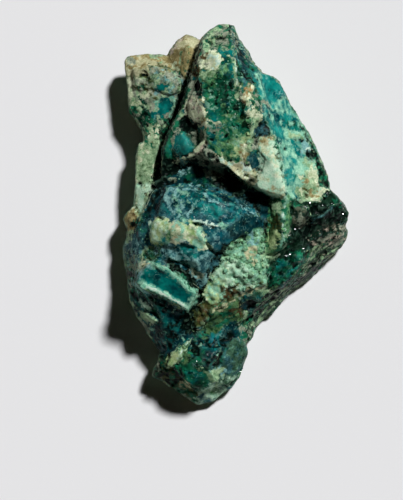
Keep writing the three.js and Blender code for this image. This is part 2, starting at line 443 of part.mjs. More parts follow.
// ---- wear: facets that lie nearly in one plane run together

// For each corner, the planes of the faces around it, summed so that a place's distance to them is quick.
function planeSums({ points, faces }) {
  const sums = points.map(() => new Float64Array(10));
  for (const face of faces) {
    const [p, q, r] = face.map((corner) => new THREE.Vector3(...points[corner]));
    const normal = q.clone().sub(p).cross(r.clone().sub(p));
    const longest = Math.max(p.distanceTo(q), q.distanceTo(r), r.distanceTo(p));
    if (normal.length() < SLIVER * longest) continue;
    normal.normalize();
    const plane = [normal.x, normal.y, normal.z, -normal.dot(p)];
    let term = 0;
    for (let i = 0; i < 4; i++) {
      for (let j = i; j < 4; j++, term++) {
        for (const corner of face) sums[corner][term] += (i === j ? 1 : 2) * plane[i] * plane[j];
      }
    }
  }
  return sums;
}

function distanceTo(a, b, [x, y, z]) {
  const powers = [x * x, x * y, x * z, x, y * y, y * z, y, z * z, z, 1];
  return Math.sqrt(Math.max(0, powers.reduce((sum, power, term) => sum + power * (a[term] + b[term]), 0)));
}

// The place where an edge's two corners meet at the least cost; a corner on the resting face stays on it.
function meetingOf([a, b], points, sums) {
  const [p, q] = [points[a], points[b]];
  const onFace = [p, q].map((point) => point[2] < 1e-6);
  let places = [p, q, p.map((value, axis) => (value + q[axis]) / 2)];
  if (onFace[0] !== onFace[1]) places = [onFace[0] ? p : q];
  const costs = places.map((place) => distanceTo(sums[a], sums[b], place));
  const cost = Math.min(...costs);
  return { a, b, cost, place: places[costs.indexOf(cost)] };
}

// The height of a face over its longest side, and its direction.
function shapeOf(p, q, r) {
  const [u, v, w] = [[p, q], [p, r], [q, r]].map(([s, t]) => t.map((value, axis) => value - s[axis]));
  const normal = [u[1] * v[2] - u[2] * v[1], u[2] * v[0] - u[0] * v[2], u[0] * v[1] - u[1] * v[0]];
  const area = Math.hypot(...normal);
  return { height: area / Math.max(Math.hypot(...u), Math.hypot(...v), Math.hypot(...w)), normal, area };
}

// Whether the corners can meet there: the skin stays whole, no face turns over and none becomes a sliver.
function meetsCleanly({ a, b, place }, points, faces, around) {
  const beside = [a, b].map((corner) => new Set(around[corner].flatMap((face) => faces[face])));
  if ([...beside[0]].filter((corner) => beside[1].has(corner)).length !== 4) return false;
  return [a, b].every((corner, side) => around[corner].every((face) => {
    if (faces[face].includes(side ? a : b)) return true;
    const before = shapeOf(...faces[face].map((i) => points[i]));
    const after = shapeOf(...faces[face].map((i) => (i === corner ? place : points[i])));
    const cosine = before.normal.reduce((sum, value, axis) => sum + value * after.normal[axis], 0);
    const turned = cosine < 0.5 * before.area * after.area && before.height > SLIVER;
    return !turned && after.height > Math.min(before.height, 5 * SLIVER);
  }));
}

function worn(mesh, tolerance) {
  const points = [...mesh.points];
  let faces = mesh.faces;
  for (let round = 0; round < 40; round++) {
    const sums = planeSums({ points, faces });
    const around = points.map(() => []);
    faces.forEach((face, number) => face.forEach((corner) => around[corner].push(number)));
    const edges = faces.flatMap(([a, b, c]) => [[a, b], [b, c], [c, a]]).filter(([a, b]) => a < b);
    const meetings = edges.map((edge) => meetingOf(edge, points, sums)).sort((p, q) => p.cost - q.cost);
    const settled = new Set();
    const renamed = new Map();
    for (const meeting of meetings) {
      const { a, b, cost, place } = meeting;
      if (cost > tolerance) break;
      const ring = [...around[a], ...around[b]].flatMap((face) => faces[face]);
      if (ring.some((corner) => settled.has(corner))) continue;
      if (!meetsCleanly(meeting, points, faces, around)) continue;
      points[a] = place;
      renamed.set(b, a);
      ring.forEach((corner) => settled.add(corner));
    }
    if (renamed.size < 3) break;
    faces = faces.map((face) => face.map((corner) => renamed.get(corner) ?? corner));
    faces = faces.filter(([a, b, c]) => a !== b && b !== c && c !== a);
  }
  const used = [...new Set(faces.flat())];
  const number = new Map(used.map((corner, i) => [corner, i]));
  return { points: used.map((i) => points[i]), faces: faces.map((face) => face.map((i) => number.get(i))) };
}

// ---- the stone

// How far a corner r lies to the left of the line from p to q, seen from above, times its length.
function leftOf(p, q, r) {
  return (q[0] - p[0]) * (r[1] - p[1]) - (q[1] - p[1]) * (r[0] - p[0]);
}

// Covers an outline with triangles: the corner with the shortest cut goes first, while it sticks out and
// its triangle holds no other corner.
function coverFaces(outline) {
  const left = outline.map((_, i) => i);
  const faces = [];
  while (left.length > 3) {
    let best = null;
    left.forEach((corner, i) => {
      const before = left.at(i - 1);
      const after = left[(i + 1) % left.length];
      const [p, q, r] = [outline[before], outline[corner], outline[after]];
      const cut = Math.hypot(p[0] - r[0], p[1] - r[1]);
      if (leftOf(p, q, r) <= 1e-6 || (best && best.cut <= cut)) return;
      const holds = (s) => leftOf(p, q, s) >= 0 && leftOf(q, r, s) >= 0 && leftOf(r, p, s) >= 0;
      const others = left.filter((other) => ![before, corner, after].includes(other));
      if (!others.some((other) => holds(outline[other]))) best = { i, cut, face: [before, corner, after] };
    });
    faces.push(best.face);
    left.splice(best.i, 1);
  }
  faces.push(left);
  return faces;
}

// The block's rim, moved out as its walls lean, at the depth where they end.
function footOf(rim) {
  return rim.map(([x, y, z], i) => {
    const before = rim.at(i - 1);
    const after = rim[(i + 1) % rim.length];
    const outward = new THREE.Vector2(after[1] - before[1], before[0] - after[0]).normalize();
    outward.multiplyScalar(WALL_LEAN * (z - FOOT_Z));
    return [x + outward.x, y + outward.y, FOOT_Z];
  });
}

function blockSolid(name) {
  const { rim, peak } = blocks[name];
  const count = rim.length;
  const foot = footOf(rim);
  const points = [...rim, ...foot, ...(peak ? [peak] : [])];
  const faces = peak ? rim.map((_, i) => [i, (i + 1) % count, 2 * count]) : coverFaces(rim);
  rim.forEach((_, i) => {
    const next = (i + 1) % count;
    faces.push([i, count + i, count + next], [i, count + next, next]);
  });
  coverFaces(foot).forEach(([a, b, c]) => faces.push([count + a, count + c, count + b]));
  const mesh = refined({ points, faces }, FACET_EDGE);
  const relief = smoothBlocks.includes(name) ? 0 : FRACTURE_RELIEF;
  mesh.points = mesh.points.map((point) => {
    const push = fracturePush(point, relief);
    return point.map((value, axis) => value + push[axis]);
  });
  return solidOf(mesh);
}

// A convex envelope that stands on the resting face and undercuts the blocks below the waist.
function envelopeSolid() {
  const corners = restingFace.map(([x, y]) => new THREE.Vector3(x, y, 0));
  for (const [x, y, z] of waist) {
    const room = 1 + WAIST_ROOM / Math.hypot(x, y);
    corners.push(new THREE.Vector3(x * room, y * room, z), new THREE.Vector3(x * room, y * room, LID_Z));
  }
  const mesh = refined(meshOf(new ConvexGeometry(corners)), UNDERSIDE_EDGE);
  mesh.points = mesh.points.map((point) => {
    const height = point[2];
    const share = THREE.MathUtils.smoothstep(height, 0, 1.2) * (1 - THREE.MathUtils.smoothstep(height, 5, 8));
    const push = fracturePush(point, UNDERSIDE_RELIEF * share);
    return [point[0] + push[0], point[1] + push[1], Math.max(height + push[2], Math.min(height, 0.2))];
  });
  return solidOf(mesh);
}

function pitSolid({ at, radius, depth }, number) {
  const random = chance(100 + number);
  const pit = new THREE.IcosahedronGeometry(radius, 1);
  pit.rotateX(random(0, 3)).rotateY(random(0, 3)).scale(1, 1, depth).translate(...at);
  return solidOf(meshOf(pit));
}

// The height and the tilt of the stone's upper surface at a place in plan.
function surfaceAt({ points, faces }, x, y) {
  let found = null;
  for (const [a, b, c] of faces) {
    const [p, q, r] = [points[a], points[b], points[c]];
    const area = (q[0] - p[0]) * (r[1] - p[1]) - (q[1] - p[1]) * (r[0] - p[0]);
    if (area <= 1e-9) continue;
    const v = ((x - p[0]) * (r[1] - p[1]) - (y - p[1]) * (r[0] - p[0])) / area;
    const w = ((q[0] - p[0]) * (y - p[1]) - (q[1] - p[1]) * (x - p[0])) / area;
    if (v < 0 || w < 0 || v + w > 1) continue;
    const height = p[2] + v * (q[2] - p[2]) + w * (r[2] - p[2]);
    if (found && found.height >= height) continue;
    const [pp, qq, rr] = [p, q, r].map((corner) => new THREE.Vector3(...corner));
    found = { height, normal: qq.sub(pp).cross(rr.sub(pp)).normalize() };
  }
  return found;
}

function isInside(outline, x, y) {
  return outline.reduce((inside, [ax, ay], i) => {
    const [bx, by] = outline.at(i - 1);
    const crosses = ay > y !== by > y && x < ((bx - ax) * (y - ay)) / (by - ay) + ax;
    return crosses ? !inside : inside;
  }, false);
}

// A stubby prism of six sides, whose tip has three faces: alternate corners of its shoulder stand lower.
function crystalGeometry(radius, stand) {
  const corners = [new THREE.Vector3(0, 0, radius * (stand + 0.55))];
  for (let i = 0; i < 6; i++) {
    const angle = (i * Math.PI) / 3;
    const [x, y] = [radius * Math.cos(angle), radius * Math.sin(angle)];
    const shoulder = radius * (i % 2 ? stand - 0.2 : stand + 0.2);
    corners.push(new THREE.Vector3(x, y, -radius * SEAT_DEPTH), new THREE.Vector3(x, y, shoulder));
  }
  return new ConvexGeometry(corners);
}

function clusterSolids(cluster, surface) {
  const { rim } = blocks[cluster.on];
  const bounds = new THREE.Box2().setFromPoints(rim.map(([x, y]) => new THREE.Vector2(x, y)));
  const random = chance(cluster.seed);
  const seats = [];
  while (seats.length < cluster.count) {
    const [x, y] = [random(bounds.min.x, bounds.max.x), random(bounds.min.y, bounds.max.y)];
    const radius = random(...cluster.radius);
    const crowded = seats.some((seat) => Math.hypot(seat.x - x, seat.y - y) < 0.75 * (seat.radius + radius));
    if (!crowded && isInside(rim, x, y)) seats.push({ x, y, radius });
  }
  return seats.map(({ x, y, radius }) => {
    const { height, normal } = surfaceAt(surface, x, y);
    const tip = new THREE.Vector3(random(-1, 1), random(-1, 1), 0.4).multiplyScalar(cluster.tilt / 2);
    const turn = new THREE.Quaternion().setFromUnitVectors(UP, normal.add(tip).normalize());
    const crystal = crystalGeometry(radius, cluster.stand);
    crystal.rotateZ(random(0, Math.PI)).applyQuaternion(turn).translate(x, y, height);
    return solidOf(meshOf(crystal));
  });
}

function meshFrom(solid) {
  const { vertProperties, triVerts } = solid.getMesh();
  return { points: inThrees(vertProperties), faces: inThrees(triVerts) };
}

function stoneMesh() {
  let stone = Object.keys(blocks).map(blockSolid).reduce((sum, block) => sum.add(block));
  stone = pits.map(pitSolid).reduce((left, pit) => left.subtract(pit), stone.intersect(envelopeSolid()));
  const rock = worn(meshFrom(stone), ROCK_WEAR);
  const crystals = clusters.flatMap((cluster) => clusterSolids(cluster, rock));
  return worn(meshFrom(crystals.reduce((sum, crystal) => sum.add(crystal), solidOf(rock))), CRYSTAL_WEAR);
}

function stoneGeometry() {
  const { points, faces } = stoneMesh();
  const geometry = new THREE.BufferGeometry();
  geometry.setAttribute("position", new THREE.Float32BufferAttribute(points.flat(), 3));
  geometry.setIndex(faces.flat());
  geometry.computeBoundingBox();
  const { min, max } = geometry.boundingBox;
  geometry.translate(-(min.x + max.x) / 2, -(min.y + max.y) / 2, -min.z);
  const scale = LENGTH / (max.y - min.y);
  geometry.scale(scale, scale, scale);
  return geometry;
}

const stoneMaterial = new THREE.MeshStandardMaterial({
  color: STONE_COLOUR,
  roughness: 0.45,
  metalness: 0,
  flatShading: true,
});

const stone = new THREE.Mesh(stoneGeometry(), stoneMaterial);
stone.name = "dioptase_stone";

const specimen = new THREE.Group();
specimen.add(stone);

export default specimen;
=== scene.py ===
# A dioptase specimen on a pale floor: one broken stone, seen from above under one soft lamp.
# Lengths are in millimetres in the stone's own frame, and become metres when a mesh is written.
import math

import bpy
import numpy as np
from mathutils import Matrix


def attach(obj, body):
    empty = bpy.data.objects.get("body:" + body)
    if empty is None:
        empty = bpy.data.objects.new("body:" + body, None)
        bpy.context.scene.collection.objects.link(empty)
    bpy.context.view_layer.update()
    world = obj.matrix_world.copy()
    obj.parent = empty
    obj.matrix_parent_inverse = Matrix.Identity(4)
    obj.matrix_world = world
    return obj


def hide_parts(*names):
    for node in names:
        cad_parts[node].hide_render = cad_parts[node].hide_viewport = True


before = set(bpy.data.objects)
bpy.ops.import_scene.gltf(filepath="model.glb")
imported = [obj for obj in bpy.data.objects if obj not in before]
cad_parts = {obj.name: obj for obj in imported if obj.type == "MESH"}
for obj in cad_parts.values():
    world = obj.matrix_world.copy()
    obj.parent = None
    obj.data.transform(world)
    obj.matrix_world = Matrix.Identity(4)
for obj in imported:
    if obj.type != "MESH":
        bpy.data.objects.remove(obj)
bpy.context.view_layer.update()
mm = 0.001

# camera, floor and light

view = {
    "aim": (-5.15, -5.2, 9.0),  # the middle of the view, half way up the stone
    "distance": 640.0,
    "fieldHeight": 75.0,  # what the long side takes in at the aim
    "sensor": 36.0,
    "clip": (0.01, 10),  # metres
}


def makeCamera():
    camera = bpy.data.objects.new("viewCamera", bpy.data.cameras.new("viewCamera"))
    bpy.context.scene.collection.objects.link(camera)
    x, y, z = view["aim"]
    camera.location = (x * mm, y * mm, (z + view["distance"]) * mm)
    camera.data.sensor_width = view["sensor"]
    camera.data.lens = view["sensor"] * view["distance"] / view["fieldHeight"]
    camera.data.clip_start, camera.data.clip_end = view["clip"]
    bpy.context.scene.camera = camera


studio = {
    "towardLamp": (0.58, 0.81),  # in plan, from the stone to the lamp
    "lampHeight": 49.0,  # degrees above the floor
    "lampSoftness": 7.0,  # degrees that the lamp spans, seen from the stone
    "lampPower": 4.0,
    "lampColour": (1.0, 0.99, 0.985),
    "towardCard": (-0.55, -0.83),  # a white card low on the other side fills the shade
    "cardHeight": 1.0,
    "cardSoftness": 12.0,
    "cardPower": 0.34,
    "cardColour": (1.0, 0.96, 0.9),
    "roomLight": 0.005,
    "roomColour": (1.0, 0.62, 0.4),
    "floorColour": (0.80, 0.808, 0.826),
    "floorRough": 0.9,
    "floorGloss": 0.2,
    "floorHalf": 900.0,
}


def sunLamp(name, power, softness, colour, toward, height):
    lamp = bpy.data.lights.new(name, "SUN")
    lamp.energy = power
    lamp.angle = math.radians(softness)
    lamp.color = colour
    holder = bpy.data.objects.new(name, lamp)
    bpy.context.scene.collection.objects.link(holder)
    holder.rotation_euler = (0, math.radians(90 - height), math.atan2(toward[1], toward[0]))


def makeLights():
    scene = bpy.context.scene
    scene.view_settings.view_transform = "Standard"
    scene.view_settings.look = "None"
    sunLamp("keyLamp", studio["lampPower"], studio["lampSoftness"], studio["lampColour"],
            studio["towardLamp"], studio["lampHeight"])
    sunLamp("fillCard", studio["cardPower"], studio["cardSoftness"], studio["cardColour"],
            studio["towardCard"], studio["cardHeight"])
    world = bpy.data.worlds.new("studioRoom")
    scene.world = world
    world.use_nodes = True
    background = world.node_tree.nodes["Background"]
    background.inputs["Color"].default_value = (*studio["roomColour"], 1)
    background.inputs["Strength"].default_value = studio["roomLight"]


def makeFloor():
    half = studio["floorHalf"] * mm
    mesh = bpy.data.meshes.new("paleFloor")
    rim = [(-half, -half, 0), (half, -half, 0), (half, half, 0), (-half, half, 0)]
    mesh.from_pydata(rim, [], [(0, 1, 2, 3)])
    floor = bpy.data.objects.new("paleFloor", mesh)
    bpy.context.scene.collection.objects.link(floor)
    material = bpy.data.materials.new("palePaper")
    material.use_nodes = True
    shader = material.node_tree.nodes["Principled BSDF"]
    shader.inputs["Base Color"].default_value = (*studio["floorColour"], 1)
    shader.inputs["Roughness"].default_value = studio["floorRough"]
    shader.inputs["Specular IOR Level"].default_value = studio["floorGloss"]
    mesh.materials.append(material)


makeCamera()
makeLights()
makeFloor()
print("camera, lamps and floor are set")

# noise that is the same on every run

stirrers = [np.uint32(number) for number in (374761393, 668265263, 2246822519, 3266489917)]


def latticeChance(cells, seed):  # a number from 0 to 1 for each cell
    with np.errstate(over="ignore"):
        mixed = cells[..., 0].astype(np.uint32) * stirrers[0]
        mixed ^= cells[..., 1].astype(np.uint32) * stirrers[1]
        mixed ^= cells[..., 2].astype(np.uint32) * stirrers[2]
        mixed += np.uint32(seed * 97531 + 12345)
        mixed = (mixed ^ (mixed >> np.uint32(15))) * stirrers[2]
        mixed = (mixed ^ (mixed >> np.uint32(13))) * stirrers[3]
    return (mixed ^ (mixed >> np.uint32(16))).astype(np.float64) / 2.0**32


def swell(points, size, seed):  # smooth noise from -1 to 1, with hollows and bumps of this size
    scaled = points / size
    cells = np.floor(scaled).astype(np.int64)
    part = scaled - cells
    ease = part * part * part * (part * (part * 6 - 15) + 10)
    total = np.zeros(len(points))
    for corner in np.ndindex(2, 2, 2):
        weight = np.prod(np.where(corner, ease, 1 - ease), axis=1)
        total += weight * latticeChance(cells + corner, seed)
    return total * 2 - 1


finerShare = 0.55  # how strong each finer step is beside the one before
seeds = {"rubble": 300, "streak": 700, "wall": 900, "fringe": 950, "patch": 2000, "grain": 61, "ledge": 83}


def rough(points, size, seed, steps=4):  # the same with finer and finer steps on it
    total = sum(swell(points, size / 2**i, seed + i) * finerShare**i for i in range(steps))
    return total / sum(finerShare**i for i in range(steps))


def brokenCells(points, size, seed):  # the number of each point's cell, and its way from the cell's seed
    scaled = points / size
    home = np.floor(scaled).astype(np.int64)
    nearest = np.full(len(points), 9.0)  # further than any seed is
    number = np.zeros(len(points))
    offset = np.zeros_like(points)
    for step in np.ndindex(3, 3, 3):
        cell = home + np.array(step) - 1
        place = cell + np.stack([latticeChance(cell, seed + k) for k in (1, 2, 3)], axis=1)
        away = scaled - place
        far = np.linalg.norm(away, axis=1)
        closer = far < nearest
        nearest = np.where(closer, far, nearest)
        number = np.where(closer, latticeChance(cell, seed + 4), number)
        offset[closer] = away[closer]
    return number, offset * size

# the stone as an even fine mesh

stone = {
    "node": "dioptase_stone",
    "faceEdge": 0.205,  # the fine mesh's spacing
    "keptShare": 0.725,  # the underside gives up the rest of its faces
    "underLimit": -0.1,  # upward part of the normal where the underside starts
    "footClear": 0.9,  # nothing is carved lower than this, so the stone rests as it did
}


def applied(name, mesh, setUp):  # the mesh with one modifier run on it
    holder = bpy.data.objects.new(name, mesh)
    bpy.context.scene.collection.objects.link(holder)
    setUp(holder)
    graph = bpy.context.evaluated_depsgraph_get()
    result = bpy.data.meshes.new_from_object(holder.evaluated_get(graph))
    bpy.data.objects.remove(holder)
    return result


def evenFaces(holder):
    remesh = holder.modifiers.new("evenFaces", "REMESH")
    remesh.mode = "VOXEL"
    remesh.voxel_size = stone["faceEdge"] * mm


def plainUnderside(holder):
    under = np.nonzero(normalsOf(holder.data)[:, 2] < stone["underLimit"])[0]
    holder.vertex_groups.new(name="underside").add(under.tolist(), 1.0, "REPLACE")
    thin = holder.modifiers.new("plainUnderside", "DECIMATE")
    thin.ratio = stone["keptShare"]
    thin.vertex_group = "underside"


def pointsOf(mesh):
    flat = np.empty(len(mesh.vertices) * 3)
    mesh.vertices.foreach_get("co", flat)
    return flat.reshape(-1, 3) / mm


def normalsOf(mesh):
    flat = np.empty(len(mesh.vertices) * 3)
    mesh.vertices.foreach_get("normal", flat)
    return flat.reshape(-1, 3)


def edgesOf(mesh):
    flat = np.empty(len(mesh.edges) * 2, dtype=np.int32)
    mesh.edges.foreach_get("vertices", flat)
    return flat.reshape(-1, 2)


fineMesh = applied("evenStone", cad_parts[stone["node"]].data.copy(), evenFaces)
fineMesh = applied("thinStone", fineMesh, plainUnderside)
points = pointsOf(fineMesh)
normals = normalsOf(fineMesh)
links = edgesOf(fineMesh)
print("fine mesh:", len(points), "points,", len(fineMesh.polygons), "faces")


def neighbourMean(values):
    total = np.bincount(links[:, 0], values[links[:, 1]], len(points))
    total += np.bincount(links[:, 1], values[links[:, 0]], len(points))
    return total / np.maximum(np.bincount(links.ravel(), minlength=len(points)), 1)


def eased(values, rounds):  # evened out over the neighbours
    for _ in range(rounds):
        values = 0.5 * values + 0.5 * neighbourMean(values)
    return values


def smoothed(at):  # each point half way to the middle of its neighbours
    return np.stack([eased(at[:, k], 1) for k in range(3)], axis=1)


def fromLine(at, line):
    distance = np.full(len(at), 1e9)
    for start, end in zip(line[:-1], line[1:]):
        side = end - start
        away = at - start
        along = np.clip(away @ side / (side @ side), 0, 1)
        distance = np.minimum(distance, np.linalg.norm(away - along[:, None] * side, axis=1))
    return distance


# narrow pits and cracks, filled with broken rock until they are shallow

filling = {
    "square": 0.3,  # the height map's squares
    "bridge": 1.8,  # gaps up to twice this wide are filled
    "depth": 0.75,  # how deep they stay
    "uneven": 0.7,
    "rimKept": 1.1,  # nothing is filled this near the outline
    "underTop": 5.2,  # lower than this, a face that looks down is the underside
    "looksDown": -0.15,
    "lowest": 3.4,  # no gap is deeper than this
    "settle": 10,  # rounds of smoothing over what was filled
    "settleFrom": 0.4,  # fills as thick as this are smoothed fully
    "rubble": 1.1,  # size of the lumps at the bottom
    "pits": [(-6.9, 13.7, 1.9), (4.0, 13.0, 1.9), (1.8, -13.2, 1.8), (-8.6, -5.0, 2.0), (-15.2, 19.7, 1.4),
             (-13.4, 21.4, 1.4), (-4.0, 25.5, 1.2)],  # x, y and radius, filled nearly flush
    "pitDepth": 0.25,
    "margin": 4,  # empty squares' room round the height map
}


def widened(field, reach, choose):
    result = field
    steps = int(round(reach / filling["square"]))
    for i in range(-steps, steps + 1):
        for j in range(-steps, steps + 1):
            if i * i + j * j <= steps * steps:
                result = choose(result, np.roll(field, (i, j), axis=(0, 1)))
    return result


def fillGaps():
    corner = points[:, :2].min(axis=0) - filling["margin"]
    squares = np.floor((points[:, :2] - corner) / filling["square"]).astype(int)
    tall = np.zeros(squares.max(axis=0) + int(filling["margin"] / filling["square"]) + 2)
    at = tuple(squares.T)
    np.maximum.at(tall, at, points[:, 2])
    closed = widened(widened(tall, filling["bridge"], np.maximum), filling["bridge"], np.minimum)
    inner = widened((tall > 0).astype(float), filling["rimKept"], np.minimum)
    depth = np.full(len(points), filling["depth"])
    for x, y, radius in filling["pits"]:
        depth[np.hypot(points[:, 0] - x, points[:, 1] - y) < radius] = filling["pitDepth"]
    rubble = 1 + filling["uneven"] * rough(points * (1, 1, 0), filling["rubble"], seeds["rubble"], 3)
    lift = np.clip(closed[at] - depth * rubble - points[:, 2], 0, None) * inner[at]
    lift[(points[:, 2] < filling["underTop"]) & (normals[:, 2] < filling["looksDown"])] = 0
    lift[points[:, 2] < filling["lowest"]] = 0
    lifted = points + np.array([0, 0, 1.0]) * eased(lift, 3)[:, None]
    settled = np.clip(eased(lift, 2) / filling["settleFrom"], 0, 1)[:, None]
    for _ in range(filling["settle"]):
        lifted += settled * (smoothed(lifted) - lifted)
    return lifted


lip = {
    "edge": [(-3.6, 9.3), (-2.4, 8.3), (-1.0, 7.2), (0.0, 6.5), (0.8, 5.9)],
    "reach": 1.5,
    "from": 11.8,  # faces lower than this belong to the wall under it
    "level": 14.0,
    "fade": (3, 1.5),  # how quickly it ends, sideways and downwards
}


def sharpenLip(at):  # the broken edge over the recess is level right up to its brink
    brink = np.array(lip["edge"], dtype=float)
    away = fromLine(at[:, :2], brink)
    sideways, downwards = lip["fade"]
    share = np.clip((1 - away / lip["reach"]) * sideways, 0, 1)
    share *= np.clip((at[:, 2] - lip["from"]) * downwards, 0, 1)
    raised = at.copy()
    raised[:, 2] += share * np.clip(lip["level"] - at[:, 2], 0, None)
    return raised


points = sharpenLip(fillGaps())
fineMesh.vertices.foreach_set("co", (points * mm).ravel())
fineMesh.update()
normals = normalsOf(fineMesh)
print("narrow gaps are filled")

# the minerals: two tones each, and a finish
# rough: roughness. grit: chalky grain. glint: small flat faces. edge: half width of its border (mm).
# carve: how deep small faces are cut (mm). stand: how far it stands out of the stone (mm).
# melt: how far the stone is smoothed under it. web: pale hair cracks. fleck: pale specks, or dark
# ones where it is below zero. fray: how broken its border is.

minerals = {
    "jade": {"dark": (12, 40, 30), "light": (66, 106, 80), "rough": 0.42, "grit": 0.5, "glint": 0.3,
             "edge": 0.2, "carve": 0.18, "fleck": 0.18, "web": 0.12},
    "emerald": {"dark": (4, 42, 28), "light": (24, 116, 82), "rough": 0.2, "grit": 0.1, "glint": 0.45,
                "edge": 0.36, "carve": 0.12, "melt": 0.6, "fleck": 0.36, "web": 0.14},
    "teal": {"dark": (1, 48, 52), "light": (8, 124, 116), "rough": 0.24, "grit": 0.1, "glint": 0.25,
             "edge": 0.38, "carve": 0.06, "melt": 0.6, "fleck": 0.12, "web": 0.2},
    "cyan": {"dark": (2, 84, 86), "light": (36, 148, 138), "rough": 0.32, "grit": 0.2, "glint": 0.2,
             "edge": 0.42, "carve": 0.04, "melt": 0.4, "web": 0.24, "fray": 1.1},
    "cerulean": {"dark": (1, 44, 58), "light": (20, 106, 116), "rough": 0.26, "grit": 0.1, "glint": 0.25,
                 "edge": 0.38, "carve": 0.04, "melt": 0.4, "web": 0.24},
    "navy": {"dark": (1, 18, 24), "light": (8, 62, 68), "rough": 0.2, "grit": 0.1, "glint": 0.35,
             "edge": 0.34, "carve": 0.08, "melt": 0.4, "fleck": 0.24, "web": 0.12},
    "slate": {"dark": (10, 52, 60), "light": (62, 112, 118), "rough": 0.45, "grit": 0.4, "glint": 0.15,
              "edge": 0.34, "carve": 0.06, "fleck": 0.18, "web": 0.2},
    "window": {"dark": (1, 60, 64), "light": (4, 130, 120), "rough": 0.14, "grit": 0.02, "glint": 0.03,
               "edge": 0.12, "melt": 0.3},
    "glass": {"dark": (1, 8, 4), "light": (20, 46, 32), "rough": 0.1, "grit": 0.02, "glint": 0.5,
              "edge": 0.3, "carve": 0.16, "melt": 0.7, "fleck": 0.12, "web": 0.05},
    "smoke": {"dark": (30, 38, 28), "light": (92, 96, 78), "rough": 0.22, "grit": 0.1, "glint": 0.5,
              "edge": 0.18, "carve": 0.12, "melt": 0.5},
    # A near-black: the rock's own black specks and streaks, and also painted shade in the long crack, the
    # recess under the wedge, pits and crevices.
    "ink": {"dark": (1, 5, 4), "light": (6, 20, 15), "rough": 0.28, "grit": 0.3, "glint": 0.3,
            "edge": 0.2, "carve": 0.26, "stand": -0.12},
    "mint": {"dark": (98, 166, 140), "light": (164, 216, 186), "rough": 0.8, "grit": 0.5, "glint": 0.03,
             "edge": 0.24, "carve": 0.04, "stand": 0.02, "fleck": -0.08, "fray": 1.1},
    "frost": {"dark": (74, 128, 132), "light": (148, 196, 190), "rough": 0.75, "grit": 0.5, "glint": 0.1,
              "edge": 0.18, "carve": 0.05, "stand": 0.02, "fleck": -0.25, "web": 0.22},
    "foam": {"dark": (78, 136, 106), "light": (166, 210, 172), "rough": 0.4, "grit": 0.3, "glint": 0.8,
             "edge": 0.14, "carve": 0.3, "fleck": -0.08},
    "sage": {"dark": (98, 140, 100), "light": (176, 204, 162), "rough": 0.8, "grit": 0.6, "glint": 0.05,
             "edge": 0.16, "carve": 0.08, "stand": 0.02, "fleck": -0.22},
    "fern": {"dark": (38, 98, 58), "light": (118, 170, 114), "rough": 0.4, "grit": 0.3, "glint": 0.4,
             "edge": 0.28, "carve": 0.1, "fleck": 0.24, "web": 0.14},
    "lime": {"dark": (124, 160, 98), "light": (200, 220, 162), "rough": 0.7, "grit": 0.5, "glint": 0.1,
             "edge": 0.24, "carve": 0.08, "stand": 0.02, "fleck": -0.12},
    "cream": {"dark": (164, 182, 138), "light": (232, 240, 208), "rough": 0.75, "grit": 0.6,
              "glint": 0.05, "edge": 0.14, "carve": 0.06, "stand": 0.04, "fleck": -0.08},
    "vein": {"dark": (150, 194, 174), "light": (222, 238, 222), "rough": 0.7, "grit": 0.4, "glint": 0.05,
             "edge": 0.09, "carve": 0.02, "stand": 0.02, "fray": 0.5},
    "chalk": {"dark": (146, 204, 172), "light": (218, 246, 218), "rough": 0.8, "grit": 0.5, "glint": 0.03,
              "edge": 0.3, "carve": 0.03, "stand": 0.02, "fleck": -0.05},
    "tan": {"dark": (150, 152, 114), "light": (206, 204, 166), "rough": 0.8, "grit": 0.6, "glint": 0.03,
            "edge": 0.2, "carve": 0.05, "stand": 0.02, "fleck": -0.16},
    "ochre": {"dark": (106, 96, 56), "light": (172, 160, 112), "rough": 0.85, "grit": 0.7, "glint": 0.03,
              "edge": 0.16, "carve": 0.1, "stand": 0.02, "fleck": -0.2},
    "rust": {"dark": (122, 90, 50), "light": (184, 152, 102), "rough": 0.85, "grit": 0.7, "glint": 0.03,
             "edge": 0.2, "carve": 0.06, "fleck": -0.1},
    "brown": {"dark": (38, 30, 14), "light": (100, 84, 52), "rough": 0.8, "grit": 0.7, "glint": 0.1,
              "edge": 0.16, "carve": 0.14, "stand": -0.05},
    "olive": {"dark": (28, 38, 16), "light": (88, 98, 52), "rough": 0.5, "grit": 0.5, "glint": 0.2,
              "edge": 0.2, "carve": 0.16},
    "moss": {"dark": (16, 52, 26), "light": (90, 126, 80), "rough": 0.5, "grit": 0.5, "glint": 0.3,
             "edge": 0.2, "carve": 0.16, "fleck": 0.18, "web": 0.1},
    "ash": {"dark": (88, 104, 86), "light": (164, 172, 150), "rough": 0.8, "grit": 0.6, "glint": 0.05,
            "edge": 0.14, "carve": 0.12, "fleck": -0.26},
    "blush": {"dark": (148, 136, 118), "light": (210, 198, 178), "rough": 0.8, "grit": 0.6, "glint": 0.05,
              "edge": 0.16, "carve": 0.14, "fleck": -0.26},
    "strata": {"dark": (8, 28, 18), "light": (60, 90, 72), "rough": 0.35, "grit": 0.3, "glint": 0.3,
               "edge": 0.14, "carve": 0.08, "fleck": 0.05, "web": 0.07},
    "splinter": {"dark": (56, 108, 90), "light": (140, 190, 164), "rough": 0.35, "grit": 0.2,
                 "glint": 0.5, "edge": 0.1, "stand": 0.02, "fray": 0.4},
}
names = list(minerals)

